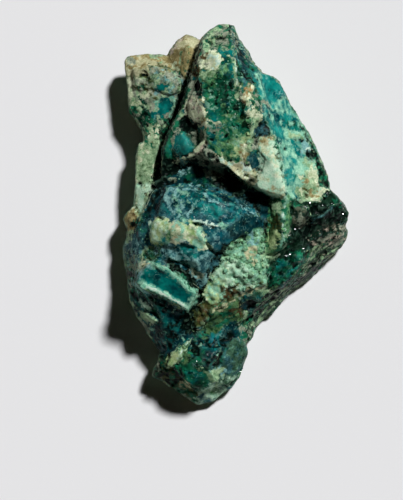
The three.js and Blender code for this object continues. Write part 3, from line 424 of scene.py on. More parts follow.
# A mineral's score says how far inside it a point is, in millimetres. The highest score shows, and the
# highest at each point is kept at zero, so later patches lie over earlier ones.
paint = {
    "reach": 1.1,  # scores further apart than this no longer matter
    "ragged": 0.2,  # how far a patch's outline wanders
    "fineGrain": 0.5,  # blotches smaller than this are left to the material's own noise
    "fray": 1.7,  # how strongly the material's noise frays a border
    "fraySpread": 0.21,  # the spread of that noise between two minerals
    "wander": 2.6,  # how far the plan is pushed about on a wall, so nothing is drawn out downwards
    "wallStart": 0.3,  # upward part of the normal below which a face counts as a wall
    "wallSwell": 3.2,  # size of that push
    "fringe": 0.9,  # size of the wobbles of an outline
    "wobble": 1.6,  # how far they reach beside the ragged value
    "grainStretch": 1.5,
    "grainRise": 0.35,  # how steep a blotch's side is
    "layers": 4.5,  # how much longer than wide a layer is
    "layerGrain": 1.6,
    "layerThick": 2,
    "streakUneven": 0.45,
    "streakSwell": 0.8,
    "touchEdge": 0.6,  # how softly a touch-up begins
    "touchWobble": 0.5,
    "leastCover": 0.002,
}


def seenFromAbove(at):  # where a point shows on the plan, which is drawn at the aim's height
    aim = np.array(view["aim"])
    nearer = view["distance"] / (view["distance"] - (at[:, 2:3] - aim[2]))
    return aim[:2] + (at[:, :2] - aim[:2]) * nearer


def unevenly(at, size, seed):  # a push in plan, about one unit long
    return np.stack([rough(at, size, seed, 3), rough(at, size, seed + 40, 3)], axis=1)


walls = np.clip((paint["wallStart"] - normals[:, 2]) / paint["wallStart"], 0, 1)
plan = seenFromAbove(points)
plan = plan + (walls * paint["wander"])[:, None] * unevenly(points, paint["wallSwell"], seeds["wall"])
fringe = unevenly(points, paint["fringe"], seeds["fringe"])
webbed = np.zeros(len(points))
flecked = np.zeros(len(points))
score = np.full((len(names), len(points)), -paint["reach"])
score[names.index("jade")] = 0
drawn = 0


def settle(name, inside, where):
    row = names.index(name)
    risen = np.maximum(score[row, where], inside)
    score[row, where] = risen
    score[:, where] -= np.maximum(risen, 0)


def chanceLevel(cover):  # how many spreads below zero leaves this share of a noise above
    tail = min(max(cover, paint["leastCover"]), 1 - paint["leastCover"])
    low, high = -4.0, 4.0
    for _ in range(30):  # halved each time
        middle = (low + high) / 2
        if 0.5 * (1 + math.erf(middle / math.sqrt(2))) < tail:
            low = middle
        else:
            high = middle
    return low


def blotches(where, cover, grain, lay):
    global drawn
    drawn += 1
    level = chanceLevel(cover)
    if cover >= 1:
        return np.full(len(where), paint["reach"])
    if grain < paint["fineGrain"] and not lay:
        return np.full(len(where), level * paint["fraySpread"])
    at = points[where]
    if lay:
        along = np.array([*lay, 0.0])
        along /= np.linalg.norm(along)
        across = np.array([-along[1], along[0], 0.0])
        at = np.stack([at @ along / paint["layers"], at @ across, at[:, 2] / paint["layerThick"]], axis=1)
        grain = grain * paint["layerGrain"]
    noise = rough(at, grain * paint["grainStretch"], seeds["patch"] + drawn * 17, 2)
    spread = noise.std() + 1e-6
    return (noise / spread + level) * grain * paint["grainRise"]


def corners(outline):  # "x,y x,y" in tenths of a millimetre
    return np.array([pair.split(",") for pair in outline.split()], dtype=float) / 10


def near(shape, margin):
    low, high = shape.min(axis=0) - margin, shape.max(axis=0) + margin
    return np.nonzero(np.all((plan > low) & (plan < high), axis=1))[0]


def insideOutline(at, shape):  # how far inside, and below zero outside
    ring = np.vstack([shape, shape[:1]])
    odd = np.zeros(len(at), dtype=bool)
    for start, end in zip(ring[:-1], ring[1:]):
        if start[1] != end[1]:
            between = (start[1] > at[:, 1]) != (end[1] > at[:, 1])
            side, away = end - start, at - start
            odd ^= between & (away[:, 0] < side[0] * away[:, 1] / side[1])
    distance = fromLine(at, ring)
    return np.where(odd, distance, -distance)


def patch(name, outline, cover=1.0, grain=0.8, ragged=paint["ragged"], lay=None):
    shape = corners(outline)
    where = near(shape, paint["reach"] + ragged)
    inside = insideOutline(plan[where] + ragged * paint["wobble"] * fringe[where], shape)
    settle(name, np.minimum(inside, blotches(where, cover, grain, lay)), where)


def mix(outline, *layers, **shared):  # mineral, cover and grain of each
    for name, *amounts in layers:
        patch(name, outline, *amounts, **shared)


def touchUp(kind, outline, amount):  # more hair cracks or pale specks inside an outline
    shape = corners(outline)
    where = near(shape, 0)
    inside = insideOutline(plan[where] + paint["touchWobble"] * fringe[where], shape)
    kind[where] += amount * np.clip(inside / paint["touchEdge"], 0, 1)


def streak(name, line, half, cover=1.0, grain=0.6, ragged=0.1):
    shape = corners(line) if isinstance(line, str) else np.array(line)
    where = near(shape, paint["reach"] + half + ragged)
    swollen = rough(points[where], paint["streakSwell"], seeds["streak"] + len(shape), 2)
    width = half * (1 + paint["streakUneven"] * swollen)
    inside = width - fromLine(plan[where] + ragged * fringe[where], shape)
    settle(name, np.minimum(inside, blotches(where, cover, grain, None)), where)


hostMix = [("emerald", 0.4, 2.2), ("moss", 0.3, 1.6), ("sage", 0.18, 1.0), ("teal", 0.15, 1.2),
           ("ash", 0.12, 0.8), ("ink", 0.1, 0.7)]  # mineral, share and grain


def paintMix(mix, where, depth):
    for name, cover, grain in mix:
        settle(name, np.minimum(depth, blotches(where, cover, grain, None)), where)


paintMix(hostMix, np.arange(len(points)), paint["reach"])

# the minerals, painted on the stone as seen from above


def paintLedge():  # the flat ledge at the upper left
    ledge = "-172,246 -99,243 -70,224 -70,200 -87,161 -105,131 -129,131 -144,125 -165,155 -172,203"
    mix(ledge, ("sage",), ("ash", 0.3, 0.9))
    patch("ochre", "-171,245 -102,245 -93,233 -114,229 -144,231 -171,229", 0.92, 0.7)
    patch("tan", "-171,233 -144,234 -114,231 -90,231 -85,218 -99,216 -117,215 -144,214 -171,215",
          ragged=0.4)
    patch("tan", "-171,230 -144,233 -114,230 -96,229 -99,222 -117,225 -144,225 -171,224", 0.6)
    patch("ochre", "-171,222 -129,222 -90,224 -87,216 -129,215 -171,214", 0.5, 0.9)
    patch("ash", "-165,238 -153,238 -150,227 -163,224", 0.8)
    patch("cream", "-165,219 -133,219 -133,204 -165,204", 0.4, 0.5)
    streak("ochre", "-165,224 -150,223 -135,225", 0.2)
    streak("olive", "-129,224 -114,224 -105,221 -96,216", 0.2, 0.7)
    mottled = "-132,222 -106,222 -87,214 -73,203 -76,182 -87,164 -99,173 -117,179 -129,191"
    mix(mottled, ("ash", 0.5), ("frost", 0.3, 0.35), ("sage", 0.3), ("jade", 0.3, 0.32),
        ("olive", 0.12, 0.32))
    patch("ink", "-108,226 -96,216 -84,209 -75,224 -69,209 -78,191 -93,203 -108,214", 0.33, 0.32)
    patch("cream", "-163,204 -144,204 -129,197 -129,176 -141,167 -156,161 -162,179", 0.6)
    patch("tan", "-168,221 -129,221 -132,206 -165,206", 0.7, 0.9)
    patch("olive", "-138,196 -126,197 -123,191 -124,184 -135,185", 0.6, 0.4)
    patch("teal", "-124,189 -123,197 -111,199 -99,196 -100,189 -114,186", 0.85, ragged=0.25)
    patch("emerald", "-147,192 -142,196 -137,195 -138,189 -144,189", ragged=0.12)
    streak("ink", "-145,192 -139,194", 0.14)
    streak("olive", "-165,192 -156,193 -145,191", 0.18)
    streak("olive", "-133,184 -127,179 -120,176", 0.15)
    streak("emerald", "-142,176 -139,169 -135,166", 0.25)
    streak("moss", "-166,207 -156,207 -142,209", 0.1, 0.7)
    streak("olive", "-142,209 -138,211 -133,210 -130,206 -127,201", 0.3)
    streak("ink", "-139,211 -133,210 -130,206", 0.12)
    patch("mint", "-102,179 -88,176 -88,161 -96,146 -102,149", 0.8, 0.4)
    patch("teal", "-120,174 -109,179 -97,176 -93,169 -97,158 -106,151 -117,146 -132,143 -135,151 "
          "-126,158 -118,161", ragged=0.25)
    patch("mint", "-118,179 -111,179 -117,167 -121,161 -121,171", 0.6, 0.4)
    patch("emerald", "-160,158 -148,167 -132,159 -129,146 -117,144 -102,146 -102,134 -114,128 -129,134 "
          "-135,125 -147,128 -156,140", 0.85, 0.7)
    patch("ink", "-159,155 -135,161 -129,134 -147,128", 0.3, 0.4)
    patch("ink", "-162,161 -129,152 -129,128 -147,128", 0.35, 0.6)
    patch("ink", "-111,148 -99,149 -99,137 -106,134", 0.8)
    streak("ink", "-160,154 -153,143 -144,131 -138,124", 0.5, ragged=0.2)


def paintKnob():  # the tan knob beside it
    patch("ochre", "-105,230 -102,251 -90,266 -75,275 -49,266 -51,248 -66,221 -75,204 -90,218")
    patch("blush", "-102,239 -96,257 -75,273 -52,264 -57,257 -75,263 -90,248", 0.6, 1.0, ragged=0.3)
    patch("sage", "-87,224 -81,245 -69,248 -64,239 -72,218 -81,209", 0.45, 1.6, ragged=0.5)
    patch("moss", "-87,230 -78,245 -66,242 -72,221 -84,215", 0.25, 0.9, ragged=0.4)
    patch("tan", "-93,254 -75,269 -57,266 -57,254 -75,254", 0.6, 1.0, ragged=0.4)
    patch("emerald", "-84,221 -73,231 -67,224 -73,208 -82,204", 0.25, 0.3)
    patch("cream", "-102,233 -88,230 -85,218 -99,221", 0.6, 0.5)


def paintStrip():  # the pale strip down the left edge
    strip = ("-138,129 -124,140 -106,134 -112,104 -117,83 -124,56 -124,44 -130,26 -136,8 -145,-10 "
             "-162,-1 -160,12 -153,18 -153,53 -151,83 -148,107 -138,110")
    patch("sage", strip, ragged=0.1)
    patch("cream", strip, 0.22)
    patch("emerald", "-138,134 -114,143 -105,131 -114,104 -129,98 -136,113", 0.33, 0.35, lay=(1, -1))
    patch("ink", "-120,137 -105,137 -114,104 -118,104 -117,122", 0.5)
    patch("olive", strip, 0.07, 0.26)
    patch("ink", "-153,50 -147,51 -141,48 -142,42 -147,41 -151,45", ragged=0.15)
    patch("moss", "-141,107 -111,107 -120,57 -150,57", 0.17, 0.35)
    patch("chalk", "-153,44 -123,47 -130,23 -139,2 -154,14", 0.5)
    streak("olive", "-153,14 -145,8", 0.2)
    streak("olive", "-151,9 -147,3", 0.15)
    streak("olive", "-138,36 -133,30", 0.15)
    patch("ochre", "-168,-10 -162,6 -153,11 -145,-4 -150,-19 -160,-24", ragged=0.15)
    patch("brown", "-160,-1 -153,5 -145,-6 -148,-16 -157,-19 -160,-10", 0.75, 0.4)
    patch("ink", "-157,-12 -150,-10 -148,-18 -156,-18", 0.7, 0.35)
    patch("sage", "-160,-22 -150,-22 -153,-37 -162,-48 -169,-49 -163,-34", 0.85)


def paintCrack():  # the long dark crack between these and the wedge
    # Painted shade: the crack is painted near-black, over the real shadow of its depth.
    patch("ink", "-49,260 -57,257 -64,239 -69,221 -78,200 -87,179 -96,155 -102,137 -109,122 -112,101 "
          "-118,80 -126,57 -126,42 -111,38 -105,50 -105,68 -106,89 -105,107 -99,128 -90,144 -79,167 "
          "-73,188 -67,208 -58,233", ragged=0.15)


def paintWedgeTop():  # the wedge's tip
    cap = "-54,254 -46,271 -36,279 -27,290 -9,290 -7,257 -9,245 -33,245 -51,245"
    mix(cap, ("ash",), ("sage", 0.5, 0.6), ("emerald", 0.45, 0.4), ("ink", 0.15, 0.3))
    patch("olive", "-40,268 -31,270 -15,268 -15,263 -33,264 -40,261", 0.85)
    streak("ink", "-39,265 -30,267 -16,265", 0.12)
    patch("ink", "-41,260 -36,260 -34,257 -37,254 -41,256", ragged=0.12)
    patch("emerald", "-13,290 -4,287 -4,269 -1,251 -9,254 -12,272")
    patch("ink", "-13,287 -7,287 -6,269 -10,269", 0.6, 0.5)
    patch("teal", "-27,248 -21,252 -15,248 -6,249 -4,239 -15,236 -24,236", 0.8, ragged=0.25)
    patch("cream", "-46,246 -33,248 -25,242 -22,236 -9,239 -15,233 -21,224 -25,216 -42,218 -54,219 "
          "-60,227 -57,239")
    patch("ash", "-58,239 -49,248 -42,239 -43,224 -54,219 -61,224", 0.5, 0.5)
    patch("vein", "-42,243 -25,241 -21,230 -30,219 -45,222", 0.45, 1.0)
    patch("brown", "-52,236 -49,243 -42,247 -41,242 -46,234", 0.8, 0.4)
    patch("brown", "-67,219 -60,226 -55,224 -56,212 -63,208 -67,211", ragged=0.15)
    patch("moss", "-57,215 -43,219 -27,218 -18,215 -33,200 -45,191 -57,197")
    patch("sage", "-55,222 -42,219 -30,218 -25,212 -33,203 -45,197 -54,200 -60,206", 0.6, 0.5)


def paintWedgeLeft():  # its left side
    patch("emerald", "-75,203 -60,209 -49,197 -49,176 -66,173 -78,173 -84,155 -88,146 -81,173", 0.7)
    streak("ash", "-69,208 -67,197 -66,185 -60,174", 0.5, ragged=0.2)
    patch("ink", "-64,200 -55,204 -49,188 -55,178 -63,184")
    blush = "-76,171 -67,179 -54,174 -51,158 -52,146 -48,136 -60,136 -69,144 -76,158"
    mix(blush, ("ash",), ("blush", 0.4), ("cream", 0.7, 0.6), ("ink", 0.16, 0.35), ("brown", 0.08, 0.35))
    patch("cream", "-52,181 -47,176 -49,166 -42,155 -44,146 -46,136 -43,125 -45,116 -49,121 -49,132 "
          "-54,140 -52,152 -52,167")
    patch("ochre", "-52,181 -47,176 -49,166 -42,155 -44,146 -46,136 -43,125 -48,122 -52,167", 0.3, 0.4)
    patch("emerald", "-102,140 -84,149 -78,131 -84,119 -93,113 -99,98 -90,83 -105,77 -108,104")
    patch("ash", "-97,140 -84,146 -81,131 -87,122 -96,125", 0.35, 0.35)
    # Painted shade: this pit is filled nearly flush and painted near-black where its depth was.
    patch("ink", "-84,143 -75,149 -66,141 -52,140 -60,131 -61,124 -70,121 -79,124 -84,132", ragged=0.3)
    patch("ash", "-70,119 -61,129 -54,126 -49,116 -57,109 -66,111", 0.7, 0.45)
    patch("ink", "-72,125 -51,126 -48,114 -60,106 -70,113", 0.3, 0.35)
    streak("ash", "-96,104 -93,113 -87,121 -84,129", 0.3, 0.7, ragged=0.2)
    lens = "-93,109 -87,121 -78,121 -69,113 -64,101 -67,91 -78,86 -90,89 -94,99"
    patch("teal", lens, ragged=0.25)
    patch("cyan", lens, 0.75, 0.9)
    patch("ink", "-94,98 -90,89 -78,86 -81,91 -88,98", 0.5, 0.3)
    patch("emerald", "-109,104 -94,110 -94,95 -87,83 -102,75 -109,86")
    patch("teal", "-109,98 -99,104 -96,89 -105,83", 0.45, 0.5)


def paintGreenFace():  # its large green face
    face = ("-51,194 -39,206 -25,216 -22,229 -12,238 -1,233 2,209 3,185 6,171 17,167 23,152 26,134 "
            "23,113 18,80 3,72 -12,74 -33,89 -45,104 -46,128 -43,152 -49,176")
    patch("emerald", face, ragged=0.3)
    patch("teal", "-22,224 -15,234 -3,233 0,218 -1,200 -12,209 -21,214", 0.5, 0.6)
    patch("ink", "-30,215 -6,215 -3,194 -15,179 -36,179 -45,194", 0.1, 0.6)
    mix(face, ("teal", 0.12, 1.1), ("fern", 0.16, 1.2), ("ink", 0.03, 0.6))
    streak("sage", "-3,248 -1,233 0,218 2,203 3,188 2,178", 0.3, 0.75, ragged=0.25)
    streak("vein", "-2,236 0,218 2,197", 0.08, ragged=0.2)
    streak("sage", "0,215 3,203 6,197", 0.3, 0.5, ragged=0.3)
    patch("cream", "-42,144 -36,141 -28,141 -18,137 -19,132 -27,134 -34,137 -40,141", ragged=0.15)
    streak("sage", "-16,148 -9,151 -3,146", 0.22, ragged=0.2)
    patch("fern", "-12,151 0,152 9,144 6,137 -6,141", 0.6, 0.5)
    patch("teal", "-43,132 -24,134 -6,136 15,140 17,128 3,119 -9,111 -24,106 -37,109 -43,119", 0.4, 0.9,
          ragged=0.4)
    patch("fern", "-33,128 -6,134 15,137 6,119 -21,107", 0.14, 0.4)
    patch("ink", "-43,131 -21,134 -9,125 -27,110 -42,116", 0.12, 0.5)
    patch("ash", "-39,132 -21,136 -15,128 -27,122 -39,124", 0.4, 0.4)
    patch("fern", "-22,109 -9,116 6,122 23,124 23,107 20,86 6,77 -9,83 -18,96", 0.8, ragged=0.3)
    glow = "-12,107 9,119 21,119 20,98 12,83 -9,92"
    mix(glow, ("lime", 0.6), ("mint", 0.4))
    patch("emerald", "-21,98 -3,95 6,77 -9,77", 0.3, 0.5)
    touchUp(flecked, face, 0.16)
    crust = "6,106 15,110 20,99 17,83 9,78 6,92"
    patch("cream", crust, ragged=0.25)
    patch("ochre", crust, 0.4, 0.6)


def paintWedgeRight():  # its right side and the pale lip over the recess
    patch("emerald", "18,203 33,200 41,182 48,161 51,137 39,134 33,155 21,173 21,191")
    patch("ash", "21,191 35,191 42,170 39,149 30,164", 0.5, 0.5)
    patch("slate", "36,161 45,164 48,140 39,137", 0.6, 0.5)
    patch("cream", "8,197 18,201 29,194 27,185 20,179 23,169 29,161 38,155 35,146 32,132 21,128 24,143 "
          "17,151 17,161 11,169 3,171 6,182 8,191", 0.8, 0.9, ragged=0.4)
    patch("rust", "14,194 23,199 26,188 18,182 18,173 14,166 9,174 15,185", 0.6, 0.6)
    patch("moss", "8,197 27,197 30,179 21,164 8,170", 0.3, 0.4)
    patch("emerald", "6,173 15,167 15,158 6,164", 0.6, 0.4)
    streak("sage", "32,143 26,131 23,121 23,110 20,98", 0.4, 0.85, ragged=0.25)
    # Painted shade: this pit is filled nearly flush and painted near-black where its depth was.
    patch("ink", "26,122 32,134 39,141 48,137 53,122 47,116 36,116 30,98 23,93 24,110")
    patch("slate", "26,122 39,141 53,122 36,116", 0.4, 0.5)
    patch("ash", "26,114 35,116 32,98 24,95", 0.7, 0.4)
    pocket = "15,83 21,95 33,92 39,80 38,71 27,68 17,74"
    patch("navy", pocket, ragged=0.25)
    patch("slate", pocket, 0.4, 0.45)
    lip = "-34,96 -21,89 -12,80 0,78 12,80 24,71 39,60 39,44 21,51 6,59 -6,65 -16,74 -28,84"
    mix(lip, ("cream",), ("vein", 0.5, 0.9), ("tan", 0.25, 0.9), ragged=0.3)
    under = "-36,95 -21,83 -6,71 12,65 27,56 39,44 32,35 17,41 0,50 -18,62 -36,80"
    mix(under, ("cream", 0.8, 0.6), ("tan", 0.3, 0.5), ("ink", 0.1, 0.35))
    shaded = "12,65 27,57 39,44 33,35 17,41 6,50"
    mix(shaded, ("ash", 0.7, 0.5), ("olive", 0.35, 0.45), ("ink", 0.3, 0.35))
    streak("vein", "-13,72 -10,70", 0.3)
    streak("vein", "0,57 3,56", 0.2)
    patch("olive", "24,65 35,62 35,47 27,50", 0.7, 0.5)
    streak("tan", "9,53 21,47 32,41", 0.3, 0.7, ragged=0.2)


def paintSlateStrip():  # the narrow slate face along its right edge
    strip = "-7,284 2,282 5,263 15,248 23,230 35,215 38,197 24,194 11,197 3,206 0,233 -4,257"
    mix(strip, ("slate",), ("emerald", 0.62, 0.7))
    patch("ink", "-4,278 5,263 21,230 35,209 24,197 3,212 -3,248", 0.25, 0.4)
    tip = "-7,284 2,282 6,263 0,248 -4,260"
    mix(tip, ("ash", 0.45, 0.4), ("emerald", 0.3, 0.45))
    patch("navy", "2,257 9,251 17,239 21,224 20,214 9,218 3,236", ragged=0.25)
    middle = "15,236 24,231 33,216 41,197 39,176 32,194 23,209 17,221"
    mix(middle, ("teal", 0.6), ("emerald", 0.45, 0.5))
    streak("ash", "15,246 18,238 24,231", 0.25, 0.7, ragged=0.2)
    streak("ink", "24,218 30,206 33,194 36,185", 0.25, ragged=0.2)


def paintPlate():  # the mint plate on the right
    plate = ("29,215 51,212 72,191 87,155 102,140 117,107 126,74 128,50 143,42 138,27 120,20 96,21 75,24 "
             "71,38 68,83 60,110 48,134 42,161 33,191")
    mix(plate, ("mint",), ("cyan", 0.24, 1.1))
    patch("cyan", "60,131 84,125 90,98 72,89 60,104", 0.3, 0.9)
    patch("teal", "38,209 51,212 69,199 74,188 69,174 60,167 48,169 42,185")
    patch("cyan", "42,206 54,206 63,194 57,182 45,188", 0.3, 0.9, ragged=0.4)
    patch("cyan", "45,182 72,188 84,167 72,155 48,158", 0.6, 0.9)
    patch("cyan", "21,218 39,209 45,185 48,158 33,185", 0.8, 0.9, ragged=0.3)
    streak("mint", "30,212 35,203 38,191 42,178", 0.14, ragged=0.2)
    streak("cyan", "42,206 44,196 45,185", 0.2)
    streak("cyan", "42,176 51,176 56,184 62,185", 0.2)
    patch("cyan", "68,186 74,185 84,161 90,149 81,152 72,170", 0.8, 0.5)
    streak("navy", "42,171 48,166 51,155 48,146", 0.25, 0.8, ragged=0.2)
    streak("ash", "39,171 45,170 50,164", 0.2)
    patch("teal", "42,158 60,154 81,154 96,141 102,132 92,126 72,131 59,125 51,132 45,146", 0.75, 0.7,
          ragged=0.35)
    patch("cyan", "45,158 81,155 99,137 72,128 54,134", 0.25, 0.5)
    patch("emerald", "78,140 96,140 101,128 84,128", 0.4, 0.4)
    patch("sage", "78,128 96,128 105,119 96,114 81,116", 0.65, 0.6, ragged=0.3)
    streak("teal", "51,137 59,124 63,110", 0.3, 0.8, ragged=0.25)
    patch("cyan", "68,113 83,110 84,83 71,77", 0.32, 0.36)
    patch("ink", "73,102 78,102 78,98 74,98", ragged=0.15)
    patch("teal", "77,113 84,115 93,104 102,93 105,86 96,88 92,84 86,98", ragged=0.15)
    patch("frost", "92,113 102,114 111,106 113,96 99,96 93,104", 0.8)
    streak("ink", "90,114 99,113", 0.25, ragged=0.15)
    patch("sage", "101,86 116,84 123,71 125,50 141,38 132,23 99,21 87,32 96,53 105,68", 0.8, 1.1,
          ragged=0.4)
    patch("cream", "105,83 116,83 123,68 123,50 138,38 129,23 105,23 102,47 110,65", 0.45, ragged=0.3)
    patch("teal", "86,63 95,64 104,59 96,56 93,51 89,57", ragged=0.15)
    patch("emerald", "87,62 93,62 95,55 90,56", 0.7, 0.4)
    patch("sage", "104,75 111,75 113,68 105,70", 0.6, 0.4)
    patch("cream", "96,62 120,62 126,38 105,26 93,41", 0.25)
    patch("ochre", "101,65 113,59 114,44 102,38 96,47", 0.06, 0.5)
    streak("ochre", "110,35 113,40 119,39 124,33 123,29 116,29 110,33", 0.22)
    streak("olive", "101,41 107,35 105,29", 0.25, 0.7, ragged=0.25)
    rim = ("95,141 105,129 116,107 126,83 140,59 143,42 131,40 122,47 125,65 119,80 107,86 113,96 "
           "111,104 105,116 99,128")
    patch("emerald", rim, ragged=0.25)
    mix(rim, ("ink", 0.6, 0.6), ("sage", 0.08, 0.4))
    patch("ink", "102,95 113,98 120,86 114,80 105,86", ragged=0.25)
    streak("vein", "108,101 113,99", 0.18)


def paintMintLeft():  # the plate's chalky left part
    left = "35,111 48,119 59,111 65,95 68,68 75,41 75,26 57,26 39,35 27,44 39,60 41,80 35,98"
    patch("mint", left)
    patch("chalk", left)
    patch("mint", "39,101 57,98 62,74 45,59 36,77", 0.2, 1.4, ragged=0.4)
    patch("tan", "33,111 41,119 54,119 59,111 48,104 36,102", 0.75, ragged=0.4)
    patch("cream", "35,107 54,110 59,98 39,95", 0.5, 1.6)
    patch("ochre", "33,113 45,119 56,118 45,110", 0.4, 0.6, ragged=0.3)
    patch("tan", "48,41 57,42 68,36 74,27 60,26 50,33", 0.6, ragged=0.3)
    streak("emerald", "59,114 64,101 65,83 68,68", 0.13, 0.85, ragged=0.15)
    streak("emerald", "69,48 72,38 77,27", 0.2, ragged=0.15)
    patch("ink", "43,68 48,68 47,63 44,63", ragged=0.15)
    patch("ink", "35,72 39,71 39,66 35,68", ragged=0.15)
    streak("olive", "54,83 60,88 66,86", 0.15, 0.7)
    streak("olive", "68,60 75,57", 0.15, 0.8)


def paintRecess():  # the dark recess behind the dome
    # Partly the rock's dark minerals, partly painted shade: the recess under the wedge's lip is painted
    # near-black and navy where the lip's shadow falls.
    patch("ink", "-129,47 -114,59 -108,83 -84,86 -60,98 -45,104 -33,95 -15,71 6,53 30,38 51,26 57,8 "
          "51,-28 42,-55 36,-52 41,-25 39,-7 27,9 11,20 -16,32 -46,40 -81,42 -106,41 -120,38",
          ragged=0.25)
    patch("navy", "-78,71 -60,80 -45,74 -33,62 -45,50 -63,47 -78,56", ragged=0.3)
    patch("emerald", "-102,59 -69,65 -33,47 -42,38 -78,41 -99,44", 0.3, 0.5)
    patch("navy", "-102,59 -69,65 -33,47 -9,32 -42,38 -78,41 -99,44", 0.4, 0.5)
    fibres = "-72,86 -60,98 -45,110 -36,98 -21,77 -18,59 -30,53 -45,68 -60,83"
    mix(fibres, ("ash", 0.5, 0.3), ("blush", 0.15, 0.3), lay=(1, 1))
    patch("frost", "-84,83 -72,88 -67,78 -72,66 -78,57 -88,59 -81,71", 0.8, 0.5, ragged=0.3)
    streak("cream", "-90,83 -78,82 -66,89 -57,99 -49,109 -46,116", 0.28, 0.85, ragged=0.2)
    streak("ash", "-64,83 -55,78 -46,71 -42,59", 0.16, 0.7)
    streak("ash", "-99,55 -90,53", 0.2, 0.8)
    streak("frost", "-69,44 -60,42 -57,45", 0.25, ragged=0.25)
    streak("slate", "-45,41 -36,38 -28,41", 0.2, 0.7, ragged=0.25)
    streak("slate", "-24,38 -16,33 -7,27", 0.25, 0.8, ragged=0.25)
    patch("slate", "-15,53 15,41 39,20 30,11 3,26 -18,41", 0.14, 0.3, lay=(1, -0.5))
    patch("navy", "30,23 48,17 48,-16 39,-16", 0.6, 0.7)
    touchUp(flecked, "-105,83 -60,98 -33,95 6,53 45,23 39,-16 11,20 -81,42 -114,44", 0.08)


def paintDome():  # the blue dome in the middle
    dome = ("-129,30 -120,41 -106,44 -81,44 -46,41 -16,33 11,21 29,9 41,-9 41,-21 20,-39 0,-54 -13,-72 "
            "-28,-92 -46,-117 -60,-106 -81,-87 -102,-76 -126,-68 -138,-50 -147,-32 -147,-10 -135,11")
    mix(dome, ("cerulean",), ("slate", 0.24, 1.6), ("navy", 0.25, 1.1))
    shoulder = "-129,35 -118,42 -105,38 -108,23 -103,11 -117,5 -129,-4 -141,-16 -147,-16 -136,8"
    patch("navy", shoulder, ragged=0.25)
    patch("ink", shoulder, 0.3, 0.7)
    patch("slate", "-126,2 -114,9 -102,8 -96,-4 -105,-7 -120,-7 -132,-10", 0.6, 0.5)
    patch("teal", "-93,40 -60,41 -48,35 -54,20 -60,-1 -69,-13 -84,-10 -88,11", 0.75, ragged=0.3)
    patch("frost", "-109,36 -96,42 -81,41 -82,29 -90,23 -87,8 -79,-7 -87,-15 -97,-1 -106,3 -100,17 "
          "-108,23", 0.45, 0.5, ragged=0.3)
    streak("mint", "-102,38 -93,32 -87,38 -81,35", 0.2, 0.7, ragged=0.25)
    streak("mint", "-90,24 -88,14 -84,3 -78,-7", 0.3, 0.7, ragged=0.25)
    patch("navy", "-78,17 -70,24 -63,17 -63,5 -69,-2 -76,6")
    streak("slate", "-82,18 -78,8 -72,-4", 0.35, ragged=0.2)
    streak("mint", "-73,33 -78,27 -73,21", 0.2, 0.7, ragged=0.2)
    bright = "-61,14 -51,20 -36,17 -21,12 -13,5 -22,-2 -34,-6 -48,0 -58,6"
    patch("cyan", bright, ragged=0.3)
    patch("teal", bright, 0.6, 0.7, lay=(1, -0.4))
    patch("navy", "-46,38 -24,35 -3,26 15,15 12,9 -9,15 -21,20 -36,26", 0.75, ragged=0.3)
    streak("frost", "-57,36 -48,33 -40,24 -30,20 -21,15", 0.14, 0.6, ragged=0.35)
    patch("slate", "-63,2 -51,6 -43,-1 -48,-7 -60,-6", 0.65, 0.4, ragged=0.25)
    patch("cerulean", "6,14 12,11 11,3 0,-9 -12,-18 -22,-21 -34,-18 -21,-7 -12,6 -3,12")
    patch("navy", "-15,5 0,11 6,5 -9,-10 -24,-16", 0.4, 0.6)
    streak("cyan", "6,6 0,-2 -9,-13 -16,-19", 0.14, ragged=0.12)
    streak("cyan", "-16,5 -9,11 2,14", 0.16, ragged=0.2)
    streak("vein", "-62,-9 -54,-8 -45,-11 -36,-16 -28,-15 -21,-12", 0.2, ragged=0.08)
    streak("vein", "-54,-12 -45,-9 -36,-11 -30,-15", 0.12, ragged=0.08)
    streak("mint", "-24,-12 -16,-15 -19,-21", 0.25, 0.8, ragged=0.2)
    patch("navy", "11,3 29,5 41,-10 39,-21 21,-36 3,-43 -10,-34 -15,-21 0,-9")
    patch("slate", "-15,-19 -6,-19 -9,-34 -21,-34", 0.4)
    patch("frost", "12,20 24,12 33,2 30,-7 18,5 6,15", 0.28, 0.35)
    streak("frost", "-87,29 -81,17 -76,6 -72,-1 -67,6 -64,15", 0.12, 0.85, ragged=0.15)
    streak("frost", "-103,33 -93,37 -81,40 -66,39 -54,36", 0.12, 0.7, ragged=0.2)
    streak("cyan", "-45,38 -33,30 -24,21 -12,17 0,15 9,11", 0.13, 0.8, ragged=0.2)
    patch("navy", "-78,35 -57,38 -45,29 -51,17 -69,14", 0.35, 0.6)
    streak("cyan", "-109,17 -102,5 -93,-2 -81,-10", 0.13, 0.8, ragged=0.2)
    touchUp(webbed, "-109,41 -46,40 6,18 11,2 -16,-22 -54,-10 -84,-13 -109,2", 0.05)
    touchUp(flecked, "-129,44 -46,44 11,26 45,5 39,-25 6,-46 3,-37 21,-16 0,11 -46,32 -114,29", 0.22)


